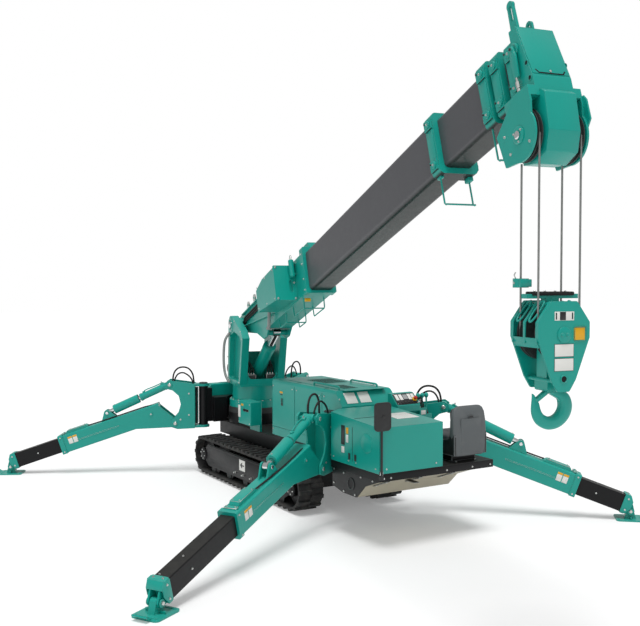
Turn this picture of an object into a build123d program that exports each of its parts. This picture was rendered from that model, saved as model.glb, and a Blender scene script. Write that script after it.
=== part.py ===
from build123d import *
import math
import os

os.makedirs("parts", exist_ok=True)

# Spider crane: a narrow machine on two rubber tracks, four folding outriggers,
# a slewing column and a telescopic boom of five sections with a hook block.
# Millimetres. X points along the direction of travel, Y to the left, Z up.
# The origin lies on the floor under the slewing axis.

# General
CLEAR = 5.0
PIN_CLEAR = 0.5
SEAT_GAP = 0.3

# Tracks
TRACK_GAUGE = 1080.0
TRACK_W = 300.0
WHEEL_REAR_X = -2150.0
WHEEL_FRONT_X = 170.0
TRACK_GROUND = 20.0
BELT_R = 218.0
BELT_T = 24.0
LUG_H = 22.0
LUG_L = 58.0
LUG_COUNT = 52
WHEEL_R = 190.0
ROLLER_R = 68.0
ROLLER_COUNT = 5
ROLLER_PITCH = 400.0
SIDE_FRAME_W = 110.0
TRACK_Z = TRACK_GROUND + LUG_H + BELT_R
TRACK_TOP = TRACK_Z + BELT_R + LUG_H

# Chassis
KEEL_W = 660.0
KEEL_BOTTOM = 200.0
KEEL_REAR_X = -2050.0
KEEL_FRONT_X = 100.0
CROSS_TUBE_R = 70.0
CROSS_TUBE_X = (-1650.0, -350.0)
FRAME_W = 720.0
FRAME_TOP = 660.0
FRAME_REAR_X = -3400.0
FRAME_FRONT_X = 200.0
SILL_H = 60.0
PEDESTAL_R = 350.0
PEDESTAL_TOP = 800.0
CASTING_X0 = 200.0
CASTING_X1 = 500.0
CASTING_W = 1000.0
CASTING_TOP = 980.0
BEAM_H = 160.0
BEAM_X0 = 372.0
BEAM_X1 = 512.0
BEAM_W = 1000.0

# Swing posts of the outriggers
BOSS_R = 60.0
BOSS_Z0 = 620.0
BOSS_Z1 = 1130.0
EAR_T = 30.0
EAR_R = 78.0
SWING_PIN_R = 32.0

# Deck, covers and operator's place
DECK_REAR_X = -3850.0
DECK_FRONT_X = -2860.0
DECK_HALF_W = 690.0
DECK_BOTTOM = 660.0
DECK_TOP = 734.0
DECK_PLATE = 12.0
COVER_SKIN = 15.0
HOOD_BOTTOM = 720.0
HOOD_TOP = 1366.0
HOOD_FRONT_X = -1300.0
HOOD_REAR_X = -2835.0
HOOD_SLOPE_X = -2700.0
HOOD_SLOPE_Z = 1215.0
HOOD_LEFT_Y = 450.0
HOOD_RIGHT_Y = -250.0
BOX_FRONT_X = -2880.0
BOX_TOP_FRONT = 1220.0
BOX_TOP_REAR = 1160.0
BOX_RIGHT_Y = -50.0
TANK_X0 = -2400.0
TANK_X1 = -1400.0
TANK_Y0 = -600.0
TANK_Y1 = -265.0
TANK_TOP = 1100.0

# Slewing column
BOOM_HEADING = 9.56
RING_R = 345.0
RING_TOP = 872.0
TABLE_R = 335.0
TABLE_TOP = 1175.0
POST_IN = 205.0
POST_OUT = 300.0
POST_SKIN = 22.0
PIVOT_R = -100.0
PIVOT_Z = 1930.0
PIVOT_BOSS_R = 120.0
PIVOT_PIN_R = 45.0

# Boom, seen along its own axis; distances run from the foot pivot
BOOM_RISE = 18.52
AXIS_DROP = -107.0
BOOM_W = 268.0
BOOM_H = 443.0
BOOM_CORNER = 42.0
BOOM_WALL = 9.0
NEST_GAP = 5.0
COLLAR_OUT = 35.0
MOUTH_L = 60.0
FOOT_END_S = 2500.0
FOOT_SIDE_T = 18.0

# Derrick cylinder
CYL_FOOT_R = -140.0
CYL_FOOT_Z = 1150.0
CYL_FOOT_PIN_R = 25.0
CYL_FOOT_W = 130.0
CYL_EYE_S = 900.0
CYL_EYE_T = -360.0
CYL_EYE_R = 45.0
CYL_EYE_W = 90.0
CYL_R = 78.0
CYL_ROD_R = 45.0
CYL_BARREL_S = 70.0
CYL_BARREL_L = 940.0
PIT_R0 = -205.0
PIT_R1 = 165.0
PIT_HALF = 100.0
PIT_FLOOR = 1040.0

# Hoist winch behind the column
WINCH_R = -385.0
WINCH_Z = 1330.0
DRUM_R = 85.0
DRUM_FLANGE_R = 115.0
DRUM_HALF = 150.0
WINCH_PLATE_IN = 160.0
WINCH_PLATE_T = 15.0
WINCH_SHAFT_R = 22.0

# Head and hook block
HEAD_AXIS_S = 6600.0
HEAD_AXIS_T = -600.0
HEAD_REAR_S = 6622.0
HEAD_HALF = 150.0
HEAD_LOWER_HALF = 208.0
HEAD_SKIN = 16.0
HEAD_PIN_R = 28.0
HOUSING_HALF = 120.0
ROPE_R = 7.0
SHEAVE_ROPE_R = 160.0
SHEAVE_FLANGE_R = 176.0
SHEAVE_T = 34.0
SHEAVE_SIDE = 160.0
ROPE_ROW = 97.5
BLOCK_AXIS_Z = 2170.0
BLOCK_HALF = 154.0
BLOCK_PIN_R = 25.0
CHEEK_T = 14.0
HOOK_BOWL_Z = 1700.0
HOOK_HALF_T = 30.0
SHANK_R = 30.0

# Outriggers, seen from the swing post: distance outwards and height
LEG_PIVOT_R = 360.0
LEG_PIVOT_Z = 650.0
LEG_TOP_PIN_R = 430.0
LEG_TOP_PIN_Z = 1155.0
LEG_PLATE_IN = 96.0
LEG_PLATE_T = 18.0
LEG_PIN_R = 22.0
ARM_W = 180.0
ARM_H = 230.0
ARM_AXIS_T = 205.0
ARM_ROOT_S = 130.0
ARM_END_S = 1500.0
ARM_WALL = 10.0
INNER_W = 146.0
INNER_H = 186.0
INNER_WALL = 9.0
INNER_L = 1300.0
ARM_LUG_S = 800.0
ARM_LUG_T = 410.0
FOOT_PIN_Z = 92.0
FOOT_PIN_T = 150.0
FOOT_PIN_OUT = 75.0
PAD_L = 300.0
PAD_W = 260.0
PAD_T = 14.0
FOOT_LUG_W = 64.0
FOOT_WEB_HALF = 60.0
FOOT_PIN_R = 18.0
LIFT_BARREL_R = 46.0
LIFT_ROD_R = 26.0
LIFT_BARREL_L = 430.0
LIFT_ROD_L = 580.0
LIFT_EYE_W = 50.0

# Each outrigger: name, swing post X and Y, heading of the arm in degrees, reach of the pad's centre
LEGS = (
    ("front_left", 320.0, 600.0, 62.0, 2492.0),
    ("front_right", 320.0, -600.0, -62.0, 2492.0),
    ("rear_left", -2735.0, 541.0, 120.9, 2854.0),
    ("rear_right", -2660.0, -470.0, -130.9, 2382.0),
)


def write(piece, name):
    """Labels a finished piece and writes it under its own name."""
    piece.part.label = name
    export_step(piece.part, f"parts/{name}.step")


# Planes of the column: distance towards the boom head, height
azimuth = math.radians(BOOM_HEADING)
heading = Vector(-math.cos(azimuth), math.sin(azimuth), 0)
boom_left = Vector(math.sin(azimuth), math.cos(azimuth), 0)
post_side = Plane(origin=(0, 0, 0), x_dir=heading, z_dir=boom_left)

# Planes of the boom: distance from the pivot along the boom, distance above it
rise = math.radians(BOOM_RISE)
boom_along = heading * math.cos(rise) + Vector(0, 0, 1) * math.sin(rise)
boom_side = Plane(
    origin=post_side.from_local_coords((PIVOT_R, PIVOT_Z, 0)),
    x_dir=boom_along,
    z_dir=boom_left,
)


def boom_cross(station, height=AXIS_DROP):
    """Plane across the boom, looking from the foot to the head."""
    centre = boom_side.from_local_coords((station, height, 0))
    return Plane(origin=centre, x_dir=boom_left * -1, z_dir=boom_along)


def column_level(height):
    """Level plane with X towards the boom head."""
    return Plane(origin=(0, 0, height), x_dir=heading, z_dir=(0, 0, 1))


# Chassis: keel between the tracks, upper frame, slewing pedestal and swing posts
with BuildPart() as chassis:
    with BuildSketch(Plane.YZ.offset(KEEL_REAR_X)):
        with BuildLine():
            Polyline(
                (-KEEL_W / 2, KEEL_BOTTOM + 60),
                (-KEEL_W / 2 + 80, KEEL_BOTTOM),
                (KEEL_W / 2 - 80, KEEL_BOTTOM),
                (KEEL_W / 2, KEEL_BOTTOM + 60),
                (KEEL_W / 2, TRACK_TOP),
                (-KEEL_W / 2, TRACK_TOP),
                close=True,
            )
        make_face()
    extrude(amount=KEEL_FRONT_X - KEEL_REAR_X)
    for tube_x in CROSS_TUBE_X:
        with BuildSketch(Plane.XZ):
            with Locations((tube_x, TRACK_Z)):
                Circle(CROSS_TUBE_R)
        extrude(amount=TRACK_GAUGE / 2 - SIDE_FRAME_W, both=True)
    with BuildSketch(Plane.XY.offset(TRACK_TOP)):
        with Locations(((FRAME_REAR_X + FRAME_FRONT_X) / 2, 0)):
            Rectangle(FRAME_FRONT_X - FRAME_REAR_X, FRAME_W)
    extrude(amount=FRAME_TOP - TRACK_TOP)
    with BuildSketch(Plane.XY.offset(FRAME_TOP)):
        Circle(PEDESTAL_R)
    extrude(amount=PEDESTAL_TOP - FRAME_TOP)
    with BuildSketch(Plane.XY.offset(FRAME_TOP)):
        with Locations(((HOOD_FRONT_X + HOOD_REAR_X) / 2, (HOOD_LEFT_Y + HOOD_RIGHT_Y) / 2)):
            Rectangle(HOOD_FRONT_X - HOOD_REAR_X - 60, HOOD_LEFT_Y - HOOD_RIGHT_Y - 60)
        with Locations(((TANK_X0 + TANK_X1) / 2, (TANK_Y0 + HOOD_RIGHT_Y) / 2)):
            Rectangle(TANK_X1 - TANK_X0 - 60, HOOD_RIGHT_Y - TANK_Y0)
    extrude(amount=SILL_H)
    # front casting, hollowed round the slewing ring
    with BuildSketch(Plane.XY.offset(FRAME_TOP)):
        with Locations(((CASTING_X0 + CASTING_X1) / 2, 0)):
            Rectangle(CASTING_X1 - CASTING_X0, CASTING_W)
        Circle(RING_R + 25, mode=Mode.SUBTRACT)
    extrude(amount=CASTING_TOP - FRAME_TOP)
    with BuildSketch(Plane.XY.offset(TRACK_TOP)):
        with Locations(((CASTING_X0 + FRAME_FRONT_X - 300) / 2, 0)):
            Rectangle(CASTING_X0 - FRAME_FRONT_X + 300, FRAME_W)
        with Locations((CASTING_X0 + 60, 0)):
            Rectangle(120, FRAME_W)
    extrude(amount=FRAME_TOP - TRACK_TOP)
    # swing posts and the arms that carry them
    for leg_name, post_x, post_y, leg_heading, leg_reach in LEGS:
        with BuildSketch(Plane.XY.offset(BOSS_Z0)):
            with Locations((post_x, post_y)):
                Circle(BOSS_R)
        extrude(amount=BOSS_Z1 - BOSS_Z0)
        with BuildSketch(Plane.XY.offset(BOSS_Z0 - EAR_T - 8)):
            with Locations((post_x, post_y)):
                Circle(SWING_PIN_R)
        extrude(amount=BOSS_Z1 - BOSS_Z0 + 2 * EAR_T + 16)
    for side_sign in (1, -1):
        with BuildSketch(Plane.XY.offset(FRAME_TOP)):
            with Locations((320, side_sign * (CASTING_W / 2 + 50))):
                Rectangle(110, 100)
        extrude(amount=BOSS_Z1 - 30 - FRAME_TOP)
    with BuildSketch(Plane.XY.offset(TRACK_TOP + 30)):
        with Locations((-2735, 37.5)):
            Rectangle(170, 835)
    extrude(amount=FRAME_TOP + 40 - TRACK_TOP - 30)
    with BuildSketch(Plane.XY.offset(BOSS_Z0)):
        with Locations((-2735, 486)):
            Rectangle(96, 66)
        with Locations((-2660, -405)):
            Rectangle(96, 90)
    extrude(amount=BOSS_Z1 - 30 - BOSS_Z0)
write(chassis, "chassis")

# Front beam across the swing posts
with BuildPart() as front_beam:
    with BuildSketch(Plane.YZ.offset(BEAM_X0)):
        with BuildLine():
            Polyline(
                (-BEAM_W / 2, CASTING_TOP),
                (BEAM_W / 2, CASTING_TOP),
                (BEAM_W / 2, CASTING_TOP + BEAM_H * 0.6),
                (BEAM_W / 2 - 50, CASTING_TOP + BEAM_H),
                (-BEAM_W / 2 + 50, CASTING_TOP + BEAM_H),
                (-BEAM_W / 2, CASTING_TOP + BEAM_H * 0.6),
                close=True,
            )
        make_face()
    extrude(amount=BEAM_X1 - BEAM_X0)
    fillet(front_beam.edges().filter_by(Axis.Y).group_by(Axis.Z)[-1], 18)
write(front_beam, "front_beam")

# Tracks: one belt per side, its lugs in two staggered rows
LOOP_STRAIGHT = WHEEL_FRONT_X - WHEEL_REAR_X
LOOP_ARC = math.pi * BELT_R
LOOP_LENGTH = 2 * LOOP_STRAIGHT + 2 * LOOP_ARC


def on_loop(distance):
    """Point and outward angle on the belt's outer line at a distance round it."""
    way = distance % LOOP_LENGTH
    if way < LOOP_STRAIGHT:
        return WHEEL_REAR_X + way, TRACK_Z + BELT_R, 90.0
    way -= LOOP_STRAIGHT
    if way < LOOP_ARC:
        turn = 90.0 - math.degrees(way / BELT_R)
        x = WHEEL_FRONT_X + BELT_R * math.cos(math.radians(turn))
        return x, TRACK_Z + BELT_R * math.sin(math.radians(turn)), turn
    way -= LOOP_ARC
    if way < LOOP_STRAIGHT:
        return WHEEL_FRONT_X - way, TRACK_Z - BELT_R, -90.0
    turn = -90.0 - math.degrees((way - LOOP_STRAIGHT) / BELT_R)
    x = WHEEL_REAR_X + BELT_R * math.cos(math.radians(turn))
    return x, TRACK_Z + BELT_R * math.sin(math.radians(turn)), turn


for side_name, side_sign in (("left", 1), ("right", -1)):
    middle_y = side_sign * TRACK_GAUGE / 2
    with BuildPart() as track:
        for row_sign, phase in ((1, 0.0), (-1, 0.5)):
            with BuildSketch(Plane.XZ.offset(-middle_y)):
                with Locations(((WHEEL_REAR_X + WHEEL_FRONT_X) / 2, TRACK_Z)):
                    SlotCenterToCenter(LOOP_STRAIGHT, 2 * BELT_R)
                for lug in range(LUG_COUNT):
                    lug_x, lug_z, lug_turn = on_loop((lug + phase) * LOOP_LENGTH / LUG_COUNT)
                    with Locations(Location((lug_x, lug_z, 0), (0, 0, lug_turn))):
                        Trapezoid(LUG_L, 2 * LUG_H, 78, rotation=-90)
                with Locations(((WHEEL_REAR_X + WHEEL_FRONT_X) / 2, TRACK_Z)):
                    SlotCenterToCenter(LOOP_STRAIGHT, 2 * (BELT_R - BELT_T), mode=Mode.SUBTRACT)
            extrude(amount=-row_sign * TRACK_W / 2)
    write(track, f"track_{side_name}")

    # Side frame with sprocket, idler and rollers
    with BuildPart() as side_frame:
        with BuildSketch(Plane.XZ.offset(-middle_y)):
            with Locations(((WHEEL_REAR_X + WHEEL_FRONT_X) / 2, TRACK_Z + 10)):
                Rectangle(LOOP_STRAIGHT - 2 * WHEEL_R - 40, 2 * (BELT_R - BELT_T) - 2 * ROLLER_R - 30)
            with Locations((WHEEL_FRONT_X - WHEEL_R, TRACK_Z)):
                Rectangle(2 * WHEEL_R, 90)
        extrude(amount=SIDE_FRAME_W, both=True)
        with BuildSketch(Plane.XZ.offset(-middle_y)):
            for wheel_x in (WHEEL_REAR_X, WHEEL_FRONT_X):
                with Locations((wheel_x, TRACK_Z)):
                    Circle(WHEEL_R)
        extrude(amount=45, both=True)
        with BuildSketch(Plane.XZ.offset(-middle_y)):
            for wheel_x in (WHEEL_REAR_X, WHEEL_FRONT_X):
                with Locations((wheel_x, TRACK_Z)):
                    Circle(82)
        extrude(amount=SIDE_FRAME_W + 12, both=True)
        with BuildSketch(Plane.XZ.offset(-middle_y)):
            with Locations((WHEEL_REAR_X + WHEEL_R + 20, TRACK_Z)):
                Rectangle(2 * WHEEL_R - 40, 110)
        extrude(amount=SIDE_FRAME_W, both=True)
        with BuildSketch(Plane.XZ.offset(-middle_y)):
            middle_x = (WHEEL_REAR_X + WHEEL_FRONT_X) / 2
            for number in range(ROLLER_COUNT):
                roller_x = middle_x + (number - (ROLLER_COUNT - 1) / 2) * ROLLER_PITCH
                with Locations((roller_x, TRACK_Z - BELT_R + BELT_T + ROLLER_R + SEAT_GAP)):
                    Circle(ROLLER_R)
        extrude(amount=95, both=True)
    write(side_frame, f"track_frame_{side_name}")

# Deck under the rear covers and the operator, a folded plate open below
deck_plan = (
    (DECK_REAR_X, -DECK_HALF_W),
    (DECK_FRONT_X - 260, -DECK_HALF_W),
    (DECK_FRONT_X, -380),
    (DECK_FRONT_X, 470),
    (DECK_FRONT_X - 150, DECK_HALF_W),
    (DECK_REAR_X, DECK_HALF_W),
)
with BuildPart() as deck:
    with BuildSketch(Plane.XY.offset(DECK_BOTTOM)):
        with BuildLine():
            Polyline(*deck_plan, close=True)
        make_face()
    extrude(amount=DECK_TOP - DECK_BOTTOM)
    with BuildSketch(Plane.XY.offset(DECK_BOTTOM)):
        with BuildLine():
            Polyline(*deck_plan, close=True)
        make_face()
        offset(amount=-DECK_PLATE, kind=Kind.INTERSECTION)
    extrude(amount=DECK_TOP - DECK_BOTTOM - DECK_PLATE, mode=Mode.SUBTRACT)
    # bearers that stand on the frame
    with BuildSketch(Plane.XY.offset(DECK_BOTTOM)):
        bearer_x = (DECK_FRONT_X + FRAME_REAR_X) / 2
        with Locations((bearer_x, 300), (bearer_x, -300)):
            Rectangle(DECK_FRONT_X - FRAME_REAR_X - 40, 40)
    extrude(amount=DECK_TOP - DECK_BOTTOM - DECK_PLATE)
write(deck, "deck")

# Belly skirt below the left rear corner, with the sloping pan
with BuildPart() as belly_skirt:
    with BuildSketch(Plane.XZ.offset(-DECK_HALF_W + 30)):
        with BuildLine():
            Polyline(
                (-2990, DECK_BOTTOM),
                (-2990, 470),
                (-3180, 430),
                (-3420, 430),
                (-3560, 560),
                (-3830, DECK_BOTTOM),
                close=True,
            )
        make_face()
    extrude(amount=14)
    with BuildSketch(Plane.XZ.offset(-DECK_HALF_W + 44)):
        with BuildLine():
            Polyline(
                (-3180, 430),
                (-3420, 430),
                (-3560, 560),
                (-3830, DECK_BOTTOM),
                (-3800, DECK_BOTTOM),
                (-3552, 574),
                (-3412, 444),
                (-3180, 444),
                close=True,
            )
        make_face()
    extrude(amount=2 * DECK_HALF_W - 260)
write(belly_skirt, "belly_skirt")

# Engine hood: hollow, open below, its rear end sloped down to the rear cover
hood_profile = (
    (HOOD_FRONT_X, HOOD_BOTTOM),
    (HOOD_FRONT_X, HOOD_TOP),
    (HOOD_SLOPE_X, HOOD_TOP),
    (HOOD_REAR_X, HOOD_SLOPE_Z),
    (HOOD_REAR_X, HOOD_BOTTOM),
)
with BuildPart() as engine_hood:
    with BuildSketch(Plane.XZ.offset(-HOOD_LEFT_Y)):
        with BuildLine():
            Polyline(*hood_profile, close=True)
        make_face()
    extrude(amount=HOOD_LEFT_Y - HOOD_RIGHT_Y)
    fillet(engine_hood.edges().filter_by(Axis.X).group_by(Axis.Z)[-1], 35)
    fillet(engine_hood.edges().filter_by(Axis.Z).group_by(Axis.X)[-1], 35)
    offset(amount=-COVER_SKIN, openings=engine_hood.faces().sort_by(Axis.Z)[0])
    # gap between the two side panels
    with BuildSketch(Plane.XY.offset(HOOD_BOTTOM + 105)):
        for gap_x in (-1850, -2440):
            with Locations((gap_x, HOOD_LEFT_Y)):
                Rectangle(10, 12)
    extrude(amount=HOOD_TOP - HOOD_BOTTOM - 150, mode=Mode.SUBTRACT)
    with BuildSketch(Plane.XZ.offset(-HOOD_LEFT_Y)):
        with Locations(((HOOD_FRONT_X + HOOD_REAR_X) / 2, HOOD_BOTTOM + 100)):
            Rectangle(HOOD_FRONT_X - HOOD_REAR_X - 80, 8)
    extrude(amount=6, mode=Mode.SUBTRACT)
write(engine_hood, "engine_hood")

# Engine, one block inside the hood
with BuildPart() as engine:
    with BuildSketch(Plane.XY.offset(FRAME_TOP + SILL_H)):
        with Locations((-2000, (HOOD_LEFT_Y + HOOD_RIGHT_Y) / 2)):
            Rectangle(900, 480)
    extrude(amount=520)
    chamfer(engine.edges().filter_by(Axis.X).group_by(Axis.Z)[-1], 60)
write(engine, "engine")

# Rear cover box, hollow, its corner cut back for the outrigger
cover_plan = (
    (DECK_REAR_X, BOX_RIGHT_Y),
    (BOX_FRONT_X, BOX_RIGHT_Y),
    (BOX_FRONT_X, 470),
    (BOX_FRONT_X - 130, DECK_HALF_W),
    (DECK_REAR_X, DECK_HALF_W),
)
with BuildPart() as rear_cover:
    with BuildSketch(Plane.XY.offset(DECK_TOP)):
        with BuildLine():
            Polyline(*cover_plan, close=True)
        make_face()
    extrude(amount=BOX_TOP_FRONT - DECK_TOP)
    with BuildSketch(Plane.XZ):
        with BuildLine():
            Polyline(
                (DECK_REAR_X - 50, BOX_TOP_REAR),
                (BOX_FRONT_X + 50, BOX_TOP_FRONT),
                (BOX_FRONT_X + 50, BOX_TOP_FRONT + 100),
                (DECK_REAR_X - 50, BOX_TOP_FRONT + 100),
                close=True,
            )
        make_face()
    extrude(amount=DECK_HALF_W + 100, both=True, mode=Mode.SUBTRACT)
    fillet(rear_cover.edges().filter_by(Axis.Y).group_by(Axis.Z)[-1], 30)
    with BuildSketch(Plane.XY.offset(DECK_TOP)):
        with BuildLine():
            Polyline(*cover_plan, close=True)
        make_face()
        offset(amount=-COVER_SKIN, kind=Kind.INTERSECTION)
    extrude(amount=BOX_TOP_REAR - 40 - DECK_TOP, mode=Mode.SUBTRACT)
    # gap between the two doors on the left side
    with BuildSketch(Plane.XZ.offset(-DECK_HALF_W)):
        with Locations((-3395, (DECK_TOP + BOX_TOP_REAR) / 2 - 10)):
            Rectangle(10, BOX_TOP_REAR - DECK_TOP - 80)
    extrude(amount=6, mode=Mode.SUBTRACT)
write(rear_cover, "rear_cover")

# Side tank on the right, with its filler
with BuildPart() as side_tank:
    with BuildSketch(Plane.XY.offset(FRAME_TOP + SILL_H)):
        with Locations(((TANK_X0 + TANK_X1) / 2, (TANK_Y0 + TANK_Y1) / 2)):
            RectangleRounded(TANK_X1 - TANK_X0, TANK_Y1 - TANK_Y0, 40)
    extrude(amount=TANK_TOP - FRAME_TOP - SILL_H)
    chamfer(side_tank.faces().sort_by(Axis.Z)[-1].edges(), 18)
    with BuildSketch(Plane.XY.offset(TANK_TOP)):
        with Locations((TANK_X1 - 160, (TANK_Y0 + TANK_Y1) / 2)):
            Circle(38)
    extrude(amount=30)
write(side_tank, "side_tank")

# Valve box at the left front, with slots in its lid, on its own bracket
with BuildPart() as valve_box:
    with BuildSketch(Plane.XY.offset(750)):
        with Locations((-695, 425)):
            RectangleRounded(330, 160, 14)
    extrude(amount=280)
    with BuildSketch(Plane.XY.offset(1030)):
        with Locations((-800, 425), (-695, 425), (-590, 425)):
            SlotOverall(80, 14, rotation=0)
    extrude(amount=-12, mode=Mode.SUBTRACT)
    with BuildSketch(Plane.XY.offset(FRAME_TOP)):
        with Locations((-695, 345)):
            Rectangle(260, 30)
    extrude(amount=300)
write(valve_box, "valve_box")

# Control console with its sloped panel, levers and knobs
with BuildPart() as console:
    with BuildSketch(Plane.XZ.offset(90)):
        with BuildLine():
            Polyline(
                (-2885, DECK_TOP),
                (-2885, 1330),
                (-2935, 1330),
                (-3060, 1215),
                (-3060, 1150),
                (-3010, 1090),
                (-3010, DECK_TOP),
                close=True,
            )
        make_face()
    extrude(amount=290)
    with BuildSketch(Plane.YZ.offset(-3060)):
        with Locations((-425, 1120)):
            RectangleRounded(90, 110, 12)
    extrude(amount=160)
    for lever in range(3):
        lever_y = -400 - 55 * lever
        with BuildSketch(Plane.XY.offset(1090)):
            with Locations((-3000, lever_y)):
                Circle(9)
        extrude(amount=190)
        with BuildSketch(Plane.XZ.offset(-lever_y)):
            with BuildLine():
                Line((-3000, 1270), (-3000, 1326))
                ThreePointArc((-3000, 1326), (-2978, 1306), (-2991, 1270))
                Line((-2991, 1270), (-3000, 1270))
            make_face()
        revolve(axis=Axis((-3000, lever_y, 1270), (0, 0, 1)))
    with BuildSketch(Plane.XY.offset(1040)):
        with Locations((-2990, -465)):
            Rectangle(90, 190)
    extrude(amount=60)
write(console, "console")

# Operator's seat: moulded shell, cushion and pedestal
with BuildPart() as seat:
    with BuildSketch(Plane.XZ.offset(200)):
        with BuildLine():
            Polyline(
                (-3845, 790),
                (-3845, 1215),
                (-3825, 1290),
                (-3790, 1290),
                (-3745, 1200),
                (-3720, 1010),
                (-3400, 1030),
                (-3370, 990),
                (-3400, 930),
                (-3480, 920),
                (-3480, DECK_TOP),
                (-3700, DECK_TOP),
                (-3700, 800),
                close=True,
            )
        make_face()
    extrude(amount=420)
    fillet(seat.faces().sort_by(Axis.X)[0].edges().filter_by(Axis.Z), 60)
write(seat, "seat")

# Mirror on its rod at the left rear corner
with BuildPart() as mirror:
    with BuildSketch(Plane.XY.offset(DECK_BOTTOM + 20)):
        with Locations((DECK_REAR_X - 16, DECK_HALF_W - 14)):
            Circle(11)
    extrude(amount=1330 - DECK_BOTTOM - 20)
    with BuildSketch(Plane.YZ.offset(DECK_REAR_X - 45)):
        with Locations((DECK_HALF_W - 14, 1270)):
            RectangleRounded(180, 264, 38)
    extrude(amount=24)
    fillet(mirror.faces().sort_by(Axis.X)[0].edges(), 8)
    with BuildSketch(Plane.XY.offset(DECK_BOTTOM + 20)):
        with Locations((DECK_REAR_X - 12, DECK_HALF_W - 14)):
            Rectangle(24, 40)
    extrude(amount=40)
write(mirror, "mirror")

# Slewing ring, fixed to the pedestal
with BuildPart() as slew_ring:
    with BuildSketch(Plane.XY.offset(PEDESTAL_TOP)):
        Circle(RING_R)
        Circle(RING_R - 70, mode=Mode.SUBTRACT)
    extrude(amount=RING_TOP - PEDESTAL_TOP - SEAT_GAP)
write(slew_ring, "slew_ring")

# Turntable above the ring, with a pit for the foot of the derrick cylinder
pit_plan_r = (PIT_R0 + PIT_R1) / 2
with BuildPart() as turntable:
    with BuildSketch(Plane.XY.offset(RING_TOP)):
        Circle(TABLE_R)
    extrude(amount=90)
    with BuildSketch(Plane.XY.offset(RING_TOP + 90)):
        Circle(TABLE_R - 40)
    extrude(amount=TABLE_TOP - RING_TOP - 90 - 25)
    with BuildSketch(column_level(TABLE_TOP - 25)):
        with Locations((15, 0)):
            Rectangle(570, 2 * POST_OUT - 20)
        Circle(TABLE_R - 30)
    extrude(amount=25)
    with BuildSketch(column_level(PIT_FLOOR)):
        with Locations((pit_plan_r, 0)):
            Rectangle(PIT_R1 - PIT_R0, 2 * PIT_HALF)
    extrude(amount=TABLE_TOP - PIT_FLOOR, mode=Mode.SUBTRACT)
    # two ears and the foot shaft in the pit
    for ear_sign in (1, -1):
        with BuildSketch(post_side.offset(ear_sign * (CYL_FOOT_W / 2 + CLEAR))):
            with Locations((CYL_FOOT_R, (PIT_FLOOR + CYL_FOOT_Z) / 2)):
                Rectangle(100, CYL_FOOT_Z - PIT_FLOOR)
            with Locations((CYL_FOOT_R, CYL_FOOT_Z)):
                Circle(50)
        extrude(amount=ear_sign * (PIT_HALF - CYL_FOOT_W / 2 - CLEAR))
    with BuildSketch(post_side.offset(-PIT_HALF)):
        with Locations((CYL_FOOT_R, CYL_FOOT_Z)):
            Circle(CYL_FOOT_PIN_R)
    extrude(amount=2 * PIT_HALF)
write(turntable, "turntable")

# Column: two leaning side posts, a rear plate and a low cross plate with rounded corners
post_profile = (
    (-262, TABLE_TOP),
    (300, TABLE_TOP),
    (430, 1780),
    (330, 1880),
    (PIVOT_R + 60, PIVOT_Z + 104),
    (PIVOT_R - 60, PIVOT_Z + 104),
    (PIVOT_R - 118, PIVOT_Z),
)
post_pocket = (
    (-205, TABLE_TOP + 45),
    (250, TABLE_TOP + 45),
    (365, 1745),
    (290, 1800),
    (PIVOT_R + 150, PIVOT_Z - 80),
    (PIVOT_R - 40, PIVOT_Z - 150),
)
with BuildPart() as column:
    for side_sign in (1, -1):
        with BuildSketch(post_side.offset(side_sign * POST_IN)):
            with BuildLine():
                Polyline(*post_profile, close=True)
            make_face()
            with Locations((PIVOT_R, PIVOT_Z)):
                Circle(PIVOT_BOSS_R)
        extrude(amount=side_sign * (POST_OUT - POST_IN))
        # pocket in the outer side leaves a flange round the plate
        with BuildSketch(post_side.offset(side_sign * POST_OUT)):
            with BuildLine():
                Polyline(*post_pocket, close=True)
            make_face()
            fillet(vertices(), 40)
        extrude(amount=-side_sign * (POST_OUT - POST_IN - POST_SKIN), mode=Mode.SUBTRACT)
    with BuildSketch(post_side.offset(-POST_IN)):
        with Locations((-251, (TABLE_TOP + 1560) / 2)):
            Rectangle(22, 1560 - TABLE_TOP)
    extrude(amount=2 * POST_IN)
    # low cross plate; its middle stays under the derrick cylinder
    with BuildSketch(column_level(TABLE_TOP)):
        with Locations((289, 0)):
            Rectangle(22, 2 * POST_IN)
    extrude(amount=150)
    window_foot = post_side.from_local_coords((260, TABLE_TOP + 70, 0))
    with BuildSketch(Plane(origin=window_foot, x_dir=boom_left * -1, z_dir=heading)):
        with Locations((0, 150)):
            RectangleRounded(2 * POST_IN - 40, 300, 60)
    extrude(amount=60, mode=Mode.SUBTRACT)
    # shaft of the boom's foot
    with BuildSketch(post_side.offset(-POST_OUT - 12)):
        with Locations((PIVOT_R, PIVOT_Z)):
            Circle(PIVOT_PIN_R)
    extrude(amount=2 * POST_OUT + 24)
    # plates and shaft that carry the winch behind the column
    for side_sign in (1, -1):
        with BuildSketch(post_side.offset(side_sign * WINCH_PLATE_IN)):
            with BuildLine():
                Polyline(
                    (-255, 1200),
                    (-415, 1220),
                    (-485, 1290),
                    (-485, 1380),
                    (-415, 1450),
                    (-255, 1500),
                    close=True,
                )
            make_face()
        extrude(amount=side_sign * WINCH_PLATE_T)
    with BuildSketch(post_side.offset(-WINCH_PLATE_IN)):
        with Locations((WINCH_R, WINCH_Z)):
            Circle(WINCH_SHAFT_R)
    extrude(amount=2 * WINCH_PLATE_IN)
write(column, "column")

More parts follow.
